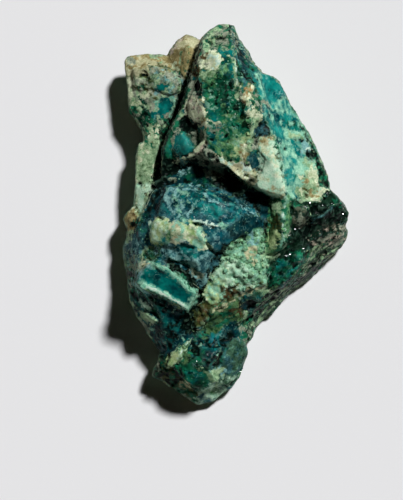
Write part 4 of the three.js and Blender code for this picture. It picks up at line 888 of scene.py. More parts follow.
def paintDomeCream():  # cream, green and grey patches on the dome's lower half
    patch("slate", "-52,-25 -42,-18 -30,-19 -15,-21 -12,-31 -21,-45 -33,-55 -42,-52 -49,-37")
    patch("cerulean", "-51,-22 -39,-18 -18,-21 -15,-34 -33,-52 -45,-49", 0.5)
    patch("frost", "-51,-25 -39,-19 -21,-22 -18,-34 -33,-49 -42,-46", 0.15, 0.3)
    patch("cream", "-126,-13 -117,-4 -102,-6 -96,-16 -102,-25 -114,-34 -126,-37", ragged=0.3)
    patch("lime", "-126,-13 -117,-4 -102,-6 -96,-16 -102,-25 -109,-31 -115,-43 -126,-46 -129,-37 "
          "-124,-27 -130,-22", 0.92, ragged=0.25)
    patch("chalk", "-129,-10 -105,-4 -99,-22 -114,-37 -126,-40", 0.6, 0.6)
    pale = ("-99,-12 -87,-9 -75,-15 -66,-10 -57,-16 -48,-31 -39,-50 -46,-55 -60,-48 -72,-39 -84,-37 "
            "-90,-46 -97,-40 -100,-25")
    mix(pale, ("sage",), ("cream", 0.5, 1.1), ("lime", 0.25, 0.9), ("mint", 0.4, 0.9))
    patch("tan", "-99,-15 -87,-12 -84,-31 -88,-46 -96,-39", 0.6, 0.7, ragged=0.35)
    greenish = "-97,-21 -94,-31 -106,-45 -118,-48 -114,-36 -105,-28"
    patch("fern", greenish, 0.9, ragged=0.25)
    mix(greenish, ("cyan", 0.5, 0.6), ("mint", 0.3, 0.3))
    streak("vein", "-84,-38 -76,-39 -70,-43 -60,-49", 0.2, 0.9, ragged=0.15)
    patch("emerald", "-132,-49 -117,-43 -103,-46 -108,-58 -118,-68 -132,-72 -138,-60", ragged=0.25)
    patch("moss", "-132,-49 -117,-43 -108,-55 -129,-67", 0.5, 0.6)
    patch("sage", "-142,-52 -132,-43 -126,-46 -136,-58 -133,-70 -141,-70", 0.7, ragged=0.25)
    patch("teal", "-87,-46 -60,-46 -43,-55 -46,-68 -66,-76 -84,-67", 0.8, 0.6, ragged=0.3)
    low = "-84,-46 -45,-52 -45,-70 -72,-73"
    mix(low, ("cyan", 0.5, 0.6), ("frost", 0.15, 0.3))
    mixed = "-124,-52 -105,-45 -87,-49 -69,-70 -81,-76 -102,-68 -117,-65"
    mix(mixed, ("navy", 0.6, 0.6), ("frost", 0.42, 0.4))
    streak("frost", "-102,-61 -93,-65 -82,-72", 0.22, 0.8, ragged=0.2)
    patch("ink", "-109,-62 -90,-70 -70,-79 -60,-91 -51,-103 -55,-118 -72,-104 -90,-88 -106,-75",
          ragged=0.25)
    patch("emerald", "-105,-76 -87,-85 -69,-100 -66,-112 -84,-97 -99,-85", 0.55, 0.5)
    greyish = "-69,-67 -48,-58 -31,-55 -33,-70 -40,-85 -39,-103 -51,-106 -64,-88 -70,-79"
    patch("slate", greyish, ragged=0.25)
    patch("frost", greyish, 0.6)
    streak("ash", "-67,-83 -60,-87 -51,-91", 0.4, 0.8, ragged=0.25)
    # Painted shade: the dark band along the dome's steep right flank, where the dome shades the granular
    # patch.
    band = ("42,-18 24,-37 3,-46 -12,-60 -21,-78 -33,-98 -45,-115 -49,-130 -60,-127 -55,-112 -43,-100 "
            "-42,-82 -34,-64 -21,-46 0,-37 21,-27")
    patch("ink", band)
    patch("slate", "-42,-64 -30,-52 -21,-55 -24,-73 -36,-82", 0.4, 0.35)


def paintLeftMargin():  # the frosted margin left of the window
    patch("navy", "-154,-22 -141,-7 -127,-19 -130,-37 -139,-52 -144,-76 -162,-73 -172,-52 -165,-43 "
          "-156,-37", ragged=0.3)
    patch("slate", "-154,-22 -141,-7 -127,-19 -130,-37 -139,-52 -144,-76 -162,-73 -172,-52 -156,-37",
          0.45, 0.45)
    patch("emerald", "-153,-10 -135,-1 -126,-16 -138,-25 -150,-22", 0.5, 0.5)
    patch("ink", "-151,-9 -141,-6 -138,-16 -150,-16", 0.6, 0.4)
    patch("frost", "-174,-43 -153,-37 -132,-52 -141,-79 -171,-79", 0.25, 0.3)
    patch("sage", "-171,-49 -150,-55 -138,-76 -168,-79", 0.2, 0.35)
    touchUp(flecked, "-168,-10 -129,-4 -126,-52 -144,-127 -171,-121", 0.3)
    patch("ash", "-172,-61 -153,-61 -139,-68 -132,-79 -147,-85 -165,-76", 0.75, 0.5, ragged=0.3)
    patch("mint", "-171,-61 -153,-61 -135,-73 -153,-85", 0.25, 0.4)
    patch("tan", "-142,-64 -132,-67 -129,-76 -138,-76", 0.7, ragged=0.25)
    patch("emerald", "-171,-76 -150,-82 -144,-91 -153,-103 -144,-112 -126,-124 -132,-136 -150,-130 "
          "-162,-133 -171,-106", ragged=0.25)
    patch("ink", "-171,-79 -153,-85 -153,-112 -144,-133 -159,-136 -171,-106", 0.45, 0.6)
    streak("ash", "-165,-79 -162,-97 -159,-118 -151,-139", 0.22, 0.6, ragged=0.2)


def paintWindow():  # the clear teal window and its raised rim
    patch("window", "-148,-103 -145,-89 -133,-78 -123,-72 -109,-79 -94,-88 -81,-103 -69,-112 -58,-115 "
          "-64,-128 -72,-142 -99,-127 -126,-113 -139,-109", ragged=0.05)
    patch("teal", "-147,-97 -132,-79 -117,-79 -108,-88 -114,-103 -135,-103", 0.5, 1.6, ragged=0.8)
    streak("frost", "-130,-73 -139,-81 -148,-91 -151,-102 -145,-111", 0.35, 0.85, ragged=0.2)
    streak("mint", "-129,-68 -121,-75 -112,-77 -103,-80 -94,-88 -85,-96 -79,-104 -72,-112 -60,-115", 0.34,
           ragged=0.3)
    streak("mint", "-60,-115 -63,-124 -67,-133 -72,-141", 0.4, ragged=0.25)
    streak("mint", "-141,-102 -135,-104 -123,-111 -106,-120 -88,-129 -72,-140", 0.32, ragged=0.12)
    streak("vein", "-139,-103 -123,-111 -106,-120 -88,-129 -73,-138", 0.16, ragged=0.08)
    patch("mint", "-147,-103 -138,-100 -135,-106 -139,-112 -145,-109", 0.8, ragged=0.25)
    streak("frost", "-142,-111 -135,-115 -130,-117", 0.2, 0.8, ragged=0.2)


def paintLowerFlank():  # the dark flank under the window
    flank = ("-165,-115 -144,-113 -126,-117 -99,-131 -73,-145 -58,-154 -63,-181 -81,-194 -102,-208 "
             "-121,-208 -135,-190 -150,-160 -162,-133")
    patch("navy", flank)
    patch("emerald", "-162,-112 -126,-118 -105,-136 -129,-148 -150,-142", 0.55, 0.7)
    mix(flank, ("teal", 0.2), ("ink", 0.2, 0.6))
    streak("vein", "-139,-133 -136,-136 -132,-139", 0.2, 0.9, ragged=0.15)
    touchUp(flecked, flank, 0.12)
    streak("sage", "-162,-112 -157,-130 -150,-148 -139,-166 -129,-184", 0.12, 0.6, ragged=0.3)
    streak("frost", "-91,-136 -84,-141", 0.13)
    pale = "-145,-144 -135,-145 -126,-151 -115,-161 -121,-161 -129,-163 -139,-156"
    mix(pale, ("sage",), ("ash", 0.15, 0.5))
    patch("teal", "-118,-146 -102,-152 -88,-163 -84,-178 -99,-182 -106,-169 -117,-163", 0.7, 0.7,
          ragged=0.35)
    streak("cerulean", "-96,-157 -93,-166 -90,-178", 0.22, 0.8, ragged=0.25)
    streak("ash", "-154,-136 -144,-154 -132,-172 -124,-190", 0.3, 0.3, ragged=0.25)
    patch("ash", "-129,-178 -114,-181 -114,-193 -123,-196", 0.12, 0.3)
    patch("ink", "-78,-138 -63,-127 -49,-121 -49,-142 -57,-169 -69,-181 -81,-172 -78,-154", ragged=0.3)


def paintGranular():  # the pale granular patch and the broken ground under it
    grains = ("30,-21 39,-24 41,-46 47,-70 51,-102 33,-108 15,-108 0,-111 -15,-122 -33,-134 -46,-131 "
              "-49,-117 -37,-100 -27,-85 -21,-70 -15,-55 0,-40 17,-39")
    patch("foam", grains, ragged=0.25)
    mix(grains, ("mint", 0.42, 0.6), ("fern", 0.24, 0.4))
    patch("sage", "-49,-117 -33,-94 -18,-73 -3,-70 0,-111 -15,-122 -33,-134 -46,-131", 0.5, 0.7)
    patch("frost", "18,-28 36,-25 39,-46 21,-46", 0.5, 0.7)
    patch("tan", "14,-49 24,-46 32,-55 27,-73 17,-70", 0.7, ragged=0.4)
    patch("cream", "-18,-70 -6,-70 -6,-82 -16,-82", 0.6, ragged=0.3)
    patch("chalk", "-36,-94 -18,-73 3,-70 24,-82 24,-106 0,-109 -18,-121 -36,-112", 0.6, 0.6)
    patch("ink", grains, 0.03, 0.3)
    patch("cream", "-49,-118 -36,-100 -21,-103 -18,-118 -30,-131 -46,-131", 0.5, 0.9, ragged=0.4)
    patch("lime", "-48,-115 -36,-97 -18,-97 -15,-118 -27,-133 -46,-133", 0.6, 0.9, ragged=0.4)
    patch("olive", "-24,-108 0,-103 21,-106 42,-102 48,-104 24,-112 6,-122 -12,-131 -21,-124", 0.6, 0.55,
          ragged=0.35)
    patch("brown", "-22,-106 -6,-109 6,-115 -6,-127 -18,-122", 0.6, 0.5)
    patch("brown", "-49,-130 -33,-133 -15,-127 -21,-139 -39,-160 -55,-160", 0.4, 0.6)
    patch("olive", "-49,-130 -30,-131 -33,-148 -43,-169 -58,-169 -64,-154 -57,-141", 0.8, 0.7, ragged=0.3)
    patch("brown", "-54,-133 -36,-133 -42,-157 -57,-163", 0.45, 0.45)
    patch("moss", "-33,-136 -6,-130 15,-127 12,-154 -6,-163 -30,-178 -49,-184 -45,-166", ragged=0.3)
    patch("jade", "-43,-154 -6,-136 0,-145 -36,-175", 0.3, 0.4, lay=(1, 0.8))
    patch("emerald", "-43,-154 -6,-136 0,-151 -36,-178", 0.4, 0.5, lay=(1, 0.8))
    patch("brown", "-12,-136 11,-133 9,-154 -6,-157", 0.45, 0.5, ragged=0.3)
    streak("tan", "48,-102 36,-108 21,-113 8,-118 -3,-127 -18,-136 -33,-144", 0.2, 0.85, ragged=0.25)
    pocket = "8,-127 24,-122 33,-136 27,-148 18,-148 8,-141"
    mix(pocket, ("navy",), ("ink", 0.5), ragged=0.3)
    patch("navy", "-27,-174 -12,-161 6,-157 6,-176 -9,-196 -25,-205 -40,-203 -42,-190 -33,-181",
          ragged=0.3)
    patch("teal", "-27,-174 -12,-161 3,-161 3,-176 -12,-193 -25,-202 -40,-203 -42,-190 -33,-181", 0.3,
          0.9, ragged=0.3)
    patch("ink", "-30,-174 -12,-161 6,-159 3,-181 -15,-196 -36,-202", 0.25, 0.6)
    patch("cerulean", "-42,-182 -33,-178 -27,-190 -36,-199", ragged=0.3)
    corner = "5,-160 24,-156 33,-168 27,-184 17,-191 6,-184"
    patch("ash", corner, 0.4, 0.5, ragged=0.25)
    patch("emerald", corner, 0.4, 0.5)


def paintRib():  # the green rib beside the glassy mass
    rib = "42,-58 48,-22 50,21 66,26 81,29 83,8 80,-25 72,-49 60,-61"
    patch("emerald", rib)
    patch("fern", rib, 0.3, 0.4, lay=(0.1, 1))
    patch("sage", "51,18 63,20 71,11 68,2 54,5", 0.8, ragged=0.25)
    patch("olive", "50,0 63,3 68,-16 57,-24 50,-19", 0.8, ragged=0.3)
    patch("lime", "48,-24 60,-22 71,-31 65,-43 50,-48", 0.75, 0.6, ragged=0.25)
    streak("mint", "77,26 74,14 71,-1 71,-16 72,-31 68,-45", 0.2, 0.8, ragged=0.25)
    streak("vein", "74,14 71,-1 71,-16 72,-31", 0.08, ragged=0.2)
    patch("sage", "38,-55 54,-49 65,-61 60,-76 45,-79", 0.5, 0.5, ragged=0.35)
    # painted shade in the crevice between the rib and the dome
    patch("ink", "39,-48 53,-48 48,-57 39,-57", 0.7)


def paintGlass():  # the black-green glassy mass on the right
    patch("glass", "80,26 96,21 123,20 141,41 174,5 174,-19 135,-39 114,-52 101,-72 84,-92 66,-108 "
          "48,-113 44,-79 60,-61 74,-49 81,-22")
    patch("emerald", "45,-76 60,-70 75,-62 96,-54 108,-57 98,-79 81,-96 63,-104 48,-104", 0.85, 0.9,
          ragged=0.4)
    patch("teal", "60,-70 96,-55 102,-70 81,-91 60,-94", 0.25, 0.7)
    patch("smoke", "84,12 96,17 108,9 113,-4 102,-15 90,-21 84,-7", 0.7, ragged=0.3)
    patch("ash", "87,3 96,6 102,-1 99,-12 90,-16 87,-7", 0.4, 0.5, ragged=0.25)
    patch("ink", "105,20 129,17 150,17 171,-1 156,-10 123,-16 105,-10", 0.62, 0.9)
    touchUp(flecked, "45,-70 96,-46 162,-4 165,-25 114,-55 81,-97 48,-109", 0.08)
    patch("slate", "113,-11 125,-2 138,6 149,14 140,4 123,-6", 0.85, ragged=0.15)
    patch("emerald", "138,17 152,24 164,11 150,5", 0.5, ragged=0.4)
    patch("emerald", "81,26 102,23 99,12 84,14", 0.3, 0.5)
    edge = "108,-34 129,-22 147,-16 171,-16 171,-31 144,-39 123,-46"
    mix(edge, ("ink", 0.5, 0.4), ("ash", 0.22, 0.32), ("blush", 0.14, 0.32), lay=(1, 0.5))
    patch("smoke", "129,-16 156,-10 171,-13 171,-25 147,-22", 0.4, 0.35, lay=(1, 0.2))


def paintStrata():  # the banded flank at the lower right
    strata = ("174,-25 158,-37 135,-42 114,-55 101,-76 84,-97 66,-111 48,-117 24,-142 12,-166 15,-193 "
              "30,-193 39,-169 66,-145 96,-115 135,-76 174,-43")
    patch("strata", strata)
    mix(strata, ("emerald", 0.35, 0.6), ("ink", 0.3, 0.4), ("ash", 0.08, 0.26), ("sage", 0.06, 0.26),
        lay=(1, 0.95))
    patch("ink", "114,-76 135,-64 135,-85 114,-97", 0.5, 0.5)
    patch("blush", "123,-37 165,-25 174,-37 135,-61", 0.1, 0.3, lay=(1, 0.8))


def paintLobe():  # the lobe at the foot
    lobe = ("-78,-181 -46,-176 -21,-169 6,-178 15,-190 21,-205 17,-226 6,-247 -9,-268 -33,-284 -60,-293 "
            "-84,-274 -129,-250 -129,-232 -117,-205 -96,-199")
    patch("emerald", lobe)
    patch("ink", "-120,-202 -96,-202 -81,-223 -75,-241 -87,-253 -105,-259 -129,-247 -129,-229", 0.9,
          ragged=0.3)
    patch("olive", "-114,-217 -96,-223 -84,-241 -66,-253 -57,-271 -84,-271 -108,-253", 0.25, 0.5)
    streak("sage", "-69,-185 -73,-194 -82,-206 -91,-218 -100,-226", 0.55, ragged=0.25)
    streak("vein", "-70,-187 -75,-196 -84,-208 -93,-220", 0.16, ragged=0.2)
    streak("sage", "-78,-178 -87,-193 -97,-208", 0.35, ragged=0.25)
    streak("vein", "-79,-181 -88,-196 -96,-206", 0.12, ragged=0.15)
    patch("lime", "-96,-205 -84,-202 -87,-217 -99,-226 -103,-220", 0.4, 0.4, lay=(1, 1.6))
    patch("moss", "-79,-196 -64,-187 -60,-205 -75,-223 -84,-220", 0.8, ragged=0.3)
    patch("navy", "-69,-187 -39,-178 -21,-193 -27,-214 -39,-229 -57,-226 -72,-211", ragged=0.35)
    patch("teal", "-57,-181 -39,-178 -21,-193 -27,-214 -39,-229 -57,-226 -66,-211", 0.15, 1.0,
          ragged=0.35)
    patch("emerald", "-69,-196 -45,-202 -45,-226 -69,-223", 0.3)
    patch("ink", "-72,-190 -45,-184 -21,-202 -42,-229 -72,-226", 0.55)
    touchUp(flecked, "-72,-184 -39,-178 -18,-196 -36,-229 -69,-226", -0.14)
    touchUp(webbed, "-72,-184 -39,-178 -18,-196 -36,-229 -69,-226", -0.1)
    patch("ink", "-22,-190 -10,-189 -16,-205 -22,-221 -34,-228 -30,-209", ragged=0.25)
    right = ("-12,-191 3,-184 14,-193 18,-208 14,-226 5,-244 -12,-253 -28,-247 -39,-230 -25,-226 "
             "-19,-215 -15,-202")
    mix(right, ("slate",), ("jade", 0.75, 1.2), ("navy", 0.04, 0.9))
    patch("emerald", "11,-189 21,-202 18,-226 6,-247 -1,-247 8,-226 12,-205", 0.8, ragged=0.3)
    patch("sage", "-57,-230 -42,-233 -24,-226 -15,-232 -25,-259 -37,-250 -45,-238", 0.85, 0.7,
          ragged=0.25)
    patch("frost", "-42,-233 -24,-226 -15,-232 -21,-244 -36,-244", 0.5, 0.5)
    patch("sage", "-40,-236 -28,-238 -27,-259 -36,-253")
    patch("emerald", "-81,-232 -54,-232 -39,-244 -33,-259 -51,-271 -72,-259", ragged=0.3)
    patch("teal", "-78,-232 -51,-235 -42,-247 -66,-253", 0.3)
    patch("tan", "-85,-248 -69,-253 -69,-259 -84,-256", 0.5, 0.35)
    patch("ash", "-129,-229 -120,-220 -114,-235 -123,-244", 0.4, 0.4)
    edge = "-129,-241 -114,-247 -90,-262 -69,-274 -57,-293 -90,-283 -126,-256"
    patch("ash", edge, 0.45, 0.32, lay=(1, -0.7))
    foot = "-60,-271 -39,-256 -15,-247 6,-238 3,-259 -27,-283 -57,-292"
    patch("fern", foot, 0.7, 1.0, ragged=0.3)
    mix(foot, ("chalk", 0.75, 0.7), ("slate", 0.2, 0.7))


def paintTouches():  # smaller patches that lie over all of these
    patch("mint", "71,95 81,101 96,86 99,68 81,63 71,74", 0.35, 0.9, ragged=0.4)
    patch("cream", "38,98 54,99 62,83 66,59 72,41 54,44 36,56 39,74", 0.35, 0.9, ragged=0.4)
    patch("navy", "-78,38 -60,40 -45,32 -48,8 -66,-4 -75,14", 0.35, 0.6, ragged=0.3)
    patch("ink", "90,-13 111,-16 150,-1 165,-13 147,-34 114,-49 93,-37", 0.42, 0.6, ragged=0.3,
          lay=(1, 0.6))
    patch("ink", "48,-70 81,-61 105,-52 99,-79 72,-103 51,-106", 0.2, 0.5)
    patch("ink", "108,18 138,17 162,14 159,-1 129,-10 108,-13", 0.6, 0.7, ragged=0.3)
    patch("slate", "113,-11 125,-2 138,6 149,14 140,4 123,-6", 0.7, ragged=0.15)
    patch("moss", "9,197 29,197 39,167 33,140 15,167", 0.2, 0.4)
    patch("ink", "0,278 15,251 39,206 24,197 3,218", 0.22, 0.4, lay=(0.5, -1))
    patch("fern", "17,-28 39,-25 39,-52 21,-70 0,-79 -6,-58", 0.22, 0.35)
    patch("lime", "-114,-43 -99,-28 -96,-16 -105,-7 -114,-25", 0.2, 0.35)
    patch("jade", "-12,-193 3,-186 14,-193 18,-211 12,-229 3,-247 -12,-259 -27,-259 -33,-247 -24,-229 "
          "-16,-214", 0.6, 0.9)
    patch("sage", "-55,-230 -39,-233 -22,-226 -15,-230 -25,-242 -28,-259 -36,-253 -45,-239", 0.85)
    patch("mint", "-45,-112 -33,-98 -18,-100 -16,-115 -27,-130 -43,-130", 0.5, 0.5, ragged=0.3)
    patch("vein", "-42,242 -27,239 -22,230 -33,219 -45,224", 0.4, ragged=0.3)
    patch("chalk", "39,86 57,83 66,65 74,41 57,41 39,56", 0.6, 1.0, ragged=0.4)
    patch("mint", "90,80 102,77 108,59 101,41 87,44 81,59", 0.25, 1.0, ragged=0.4)
    streak("chalk", "-140,-132 -136,-135 -131,-139", 0.3, ragged=0.15)
    patch("cream", "-72,176 -60,173 -51,155 -49,137 -60,143 -69,158", 0.3, 0.5, ragged=0.3)
    patch("lime", "-6,113 15,122 21,98 12,83 -3,89", 0.22, 0.4, ragged=0.3)
    patch("sage", "-150,200 -135,194 -138,173 -153,179", 0.2, 0.5, ragged=0.3)
    patch("emerald", "-46,197 -33,203 -12,200 0,185 2,167 6,149 -6,137 -27,143 -42,146 -48,167", 0.6, 1.3,
          ragged=0.4)
    patch("ink", "-39,197 -9,197 0,173 -15,155 -36,167", 0.1, 1.0, ragged=0.4)
    patch("ink", "-72,-184 -45,-178 -24,-193 -33,-211 -54,-205 -69,-196", 0.22, ragged=0.3)
    patch("glass", "84,23 120,20 126,2 99,-16 81,-7", 0.3, 0.5, ragged=0.3)
    patch("navy", "-129,29 -99,41 -87,23 -108,2 -129,8", 0.25, 0.9, ragged=0.4)


# thin pale splinters that lie in the glassy minerals
splinters = {
    "seed": 77,
    "spread": 25,  # degrees about the lean
    "long": (0.08, 0.36),
    "half": (0.04, 0.1),
}
splinterFields = (  # how many, their lean in degrees, and two corners of where they lie
    (26, -25, "-45,203 2,137"),
    (12, -15, "-42,137 3,110"),
    (16, -12, "-96,47 -15,2"),
    (10, -35, "-129,-139 -78,-190"),
    (8, 35, "48,-58 102,-106"),
    (5, -60, "0,257 33,197"),
    (5, 35, "-75,-190 -21,-226"),
)


def paintSplinters():
    chance = np.random.default_rng(splinters["seed"])
    for count, lean, box in splinterFields:
        for at in chance.uniform(*np.sort(corners(box), axis=0), (count, 2)):
            turn = math.radians(chance.normal(lean, splinters["spread"]))
            reach = chance.uniform(*splinters["long"]) * np.array([math.cos(turn), math.sin(turn)])
            streak("splinter", (at - reach, at + reach), chance.uniform(*splinters["half"]), ragged=0.08)


# what the plan can't reach: walls broken up by the rock's own mix, and the underside

flanks = {
    "steepFrom": 0.15,  # upward part of a wall's normal
    "steepShows": 0.08,
    "underFrom": 0.05,
    "underShows": -0.15,
    "steepEdge": 2,  # how quickly their own mix takes over
    "underEdge": 1.6,
    "wallMix": [("emerald", 0.3, 1.8), ("jade", 0.22, 1.3), ("teal", 0.14, 1.1), ("sage", 0.16, 0.9),
                ("ash", 0.14, 0.7), ("navy", 0.14, 1.0), ("ink", 0.1, 0.6), ("tan", 0.06, 0.8)],
    "underMix": [("jade", 0.5, 2.5), ("ash", 0.3, 1.2), ("moss", 0.3, 1.6), ("emerald", 0.25, 1.4),
                 ("ochre", 0.16, 0.9), ("sage", 0.2, 0.8)],
}


def paintSides():
    steep = np.nonzero(normals[:, 2] < flanks["steepFrom"])[0]
    paintMix(flanks["wallMix"], steep, (flanks["steepShows"] - normals[steep, 2]) * flanks["steepEdge"])
    under = np.nonzero(normals[:, 2] < flanks["underFrom"])[0]
    depth = (flanks["underShows"] - normals[under, 2]) * flanks["underEdge"]
    settle("jade", depth, under)
    paintMix(flanks["underMix"], under, depth)


for paintPart in (paintLedge, paintKnob, paintStrip, paintWedgeTop, paintWedgeLeft, paintGreenFace,
                  paintSlateStrip, paintWedgeRight, paintPlate, paintMintLeft, paintRecess, paintDome,
                  paintDomeCream, paintLeftMargin, paintLobe, paintStrata, paintLowerFlank, paintWindow,
                  paintGranular, paintRib, paintGlass, paintCrack, paintSides, paintTouches,
                  paintSplinters):
    paintPart()
np.maximum(score, -paint["reach"], out=score)
winner = score.argmax(axis=0)
print("minerals are laid out:", drawn, "patches and mixes")

# relief: small faces, grain and the steps between minerals

relief = {
    "faces": [(1.15, 31, 0.8), (0.62, 47, 0.45)],  # size, seed and strength of the small broken faces
    "step": 0.8,  # how far a face lies above or below the next
    "grainSize": 0.55,
    "grain": 0.05,
    "melt": 8,  # rounds of smoothing under the glassy minerals
    "flankRun": (1.0, 0.95, 0.0),
    "ledge": 0.75,
    "ledgeLong": 7,
    "ledgeDepth": 0.3,
    "ledgeLow": 0.6,
    "pull": 0.42,  # the highest that anything is pushed, and half the deepest
    "fullHollow": 0.05,  # a hollow this deep between neighbours is shaded fully
}


def perPoint(key, otherwise=0.0):
    return np.array([minerals[name].get(key, otherwise) for name in names])[winner]


def brokenFaces(size, seed):  # each cell of rock is one flat face, tipped its own way
    number, offset = brokenCells(points, size, seed)
    whole = np.stack([number * 4e6] * 3, axis=1).astype(np.int64)  # the cell's number, made whole
    tips = np.stack([latticeChance(whole + k, seed) - 0.5 for k in (11, 12, 13)], axis=1)
    return np.sum(tips * offset, axis=1) * 2 / size + (number - 0.5) * relief["step"]


def melted(rounds):  # smoothed under the glassy minerals
    at = points.copy()
    weight = eased(perPoint("melt"), 3)[:, None] * np.clip(points[:, 2:3] / stone["footClear"] - 1, 0, 1)
    for _ in range(rounds):
        at += weight * (smoothed(at) - at)
    return at


def striae():  # thin ledges that run along the broken flank
    along = np.array(relief["flankRun"]) / np.linalg.norm(relief["flankRun"])
    across = np.array([-along[1], along[0], 0.0])
    at = np.stack([points @ along / relief["ledgeLong"], points @ across, points[:, 2]], axis=1)
    return np.abs(rough(at, relief["ledge"], seeds["ledge"], 3)) * 2 - relief["ledgeLow"]


def carve():
    faces = sum(brokenFaces(size, seed) * strength for size, seed, strength in relief["faces"])
    push = perPoint("carve") * faces
    push += perPoint("grit") * relief["grain"] * rough(points, relief["grainSize"], seeds["grain"], 3)
    push += eased(perPoint("stand"), 2)
    push += eased((winner == names.index("strata")).astype(float), 3) * relief["ledgeDepth"] * striae()
    push = np.clip(push, -2 * relief["pull"], relief["pull"])
    push *= np.clip(points[:, 2] / stone["footClear"], 0, 1)
    return melted(relief["melt"]) + normals * eased(push, 1)[:, None]


carved = carve()
carved[:, 2] = np.maximum(carved[:, 2], 0)
fineMesh.vertices.foreach_set("co", (carved * mm).ravel())
fineMesh.update()
print("relief is carved")


# this score sets the painted shade in the hollows and the painted highlight on the edges
def hollows():  # above zero in a hollow, below on an edge
    middle = np.stack([neighbourMean(carved[:, k]) for k in range(3)], axis=1)
    return eased(np.sum((middle - carved) * normalsOf(fineMesh), axis=1), 1)


def keep(name, values):
    fineMesh.attributes.new(name, "FLOAT", "POINT").data.foreach_set("value", values.astype(np.float32))


for name, values in zip(names, score):
    keep(name, values)
# the hollow score, for the painted shade and painted highlight
keep("hollow", hollows() / relief["fullHollow"])
keep("web", np.maximum(eased(perPoint("web") + webbed, 2), 0))
keep("fleck", eased(perPoint("fleck") + flecked, 2))
print("scores are on the mesh")

# small crystals standing in the granular patch, the dark glass and the green faces

crystalSets = {
    "mintCrystals": {"on": ["foam"], "count": 170, "radius": (0.2, 0.46), "sunk": 0.82, "lean": 0.3,
                     "seed": 5},
    "glassCrystals": {"on": ["glass", "smoke"], "count": 8, "radius": (0.35, 0.6), "sunk": 0.9,
                      "lean": 0.24, "seed": 9},
    "greenCrystals": {"on": ["emerald", "fern", "moss"], "count": 110, "radius": (0.25, 0.5), "sunk": 0.85,
                      "lean": 0.3, "seed": 14},
}
prism = {
    "long": (0.8, 1.2),  # length in diameters
    "widths": (0.8, 0.4),  # least radius, and how much wider a corner may be
    "drop": 0.28,  # how far every second corner of the top lies lower (in radii, as the tip)
    "tip": 0.3,  # how far the point stands above the sides
    "turn": 6.3,  # radians that one may be turned about its length
    "above": 2.0,  # nothing stands lower than this
    "facing": 0.1,  # or on ground whose normal has less of an upward part
}


def crystal(radius, length, chance):  # a six-sided prism closed by three sloping faces
    turns = np.arange(6) * math.pi / 3 + chance.random() * 2
    least, spread = prism["widths"]
    widths = radius * (least + spread * chance.random(6))
    ring = np.stack([np.cos(turns) * widths, np.sin(turns) * widths], axis=1)
    low = np.column_stack([ring, np.full(6, -length / 2)])
    top = np.column_stack([ring, length / 2 + np.where(np.arange(6) % 2, -prism["drop"], 0.0) * radius])
    tip = np.array([[0, 0, length / 2 + prism["tip"] * radius]])
    foot = np.array([[0, 0, -length / 2]])
    faces = [(i, (i + 1) % 6, (i + 1) % 6 + 6, i + 6) for i in range(6)]
    faces += [(12, (i - 1) % 6 + 6, i + 6, (i + 1) % 6 + 6) for i in (1, 3, 5)]
    faces += [(13, (i + 1) % 6, i) for i in range(6)]
    return np.vstack([low, top, tip, foot]), faces


def frameAlong(axis, turn):
    axis = axis / np.linalg.norm(axis)
    side = np.cross(axis, (0.3, 0.9, 0.2))
    side /= np.linalg.norm(side)
    other = np.cross(axis, side)
    first = side * math.cos(turn) + other * math.sin(turn)
    return np.stack([first, np.cross(axis, first), axis])


def homesOn(kind, chance):
    rows = [names.index(mineral) for mineral in kind["on"]]
    fits = np.isin(winner, rows) & (carved[:, 2] > prism["above"]) & (normals[:, 2] > prism["facing"])
    return chance.choice(np.nonzero(fits)[0], kind["count"], replace=False)


def standCrystals(name, kind):
    chance = np.random.default_rng(kind["seed"])
    homes = homesOn(kind, chance)
    at, faces, source = [], [], []
    for home in homes:
        radius = chance.uniform(*kind["radius"])
        length = radius * 2 * chance.uniform(*prism["long"])
        shape, sides = crystal(radius, length, chance)
        axis = normals[home] + kind["lean"] * chance.normal(size=3)
        middle = carved[home] - normals[home] * radius * kind["sunk"]
        faces += [tuple(corner + len(shape) * len(source) for corner in side) for side in sides]
        at.append(middle + shape @ frameAlong(axis, chance.random() * prism["turn"]))
        source.append(home)
    return placed(name, at, faces, np.repeat(source, len(shape)))


def placed(name, at, faces, owners):
    mesh = bpy.data.meshes.new(name)
    mesh.from_pydata((np.vstack(at) * mm).tolist(), [], faces)
    for row, mineral in enumerate(names):
        values = score[row, owners].astype(np.float32)
        mesh.attributes.new(mineral, "FLOAT", "POINT").data.foreach_set("value", values)
    piece = bpy.data.objects.new(name, mesh)
    bpy.context.scene.collection.objects.link(piece)
    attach(piece, "root")
    return piece


glints = {
    "on": ["glass", "smoke", "emerald", "cerulean"],
    "count": 34,
    "radius": (0.03, 0.09),
    "stand": 0.05,  # how far a flake stands out of the stone
    "facing": (0.204, 0.285, 0.937),  # half way between the lamp and straight up
    "wobble": 0.04,
    "narrow": 0.4,  # least width beside its length
    "foot": 0.6,  # size of the end in the stone
    "around": 6.28,  # radians that its corners spread over
    "preferHigh": 0.05,  # of two faces under one spot, the upper one gets the flake
    "seed": 21,
    "spots": [(8.6, -0.2, 0.26), (8.9, 0.3, 0.12), (10.5, 1.9, 0.14), (11.1, 2.0, 0.14), (13.1, 1.6, 0.12),
              (16.2, 0.2, 0.12), (9.9, -5.4, 0.2), (10.1, -5.0, 0.1), (7.5, -6.1, 0.14), (8.1, -5.8, 0.14),
              (7.2, -6.8, 0.1), (9.0, 0.9, 0.12)],  # x, y and radius of the larger ones
    "colour": (70, 96, 84),
    "rough": 0.12,
    "gloss": 0.5,
}


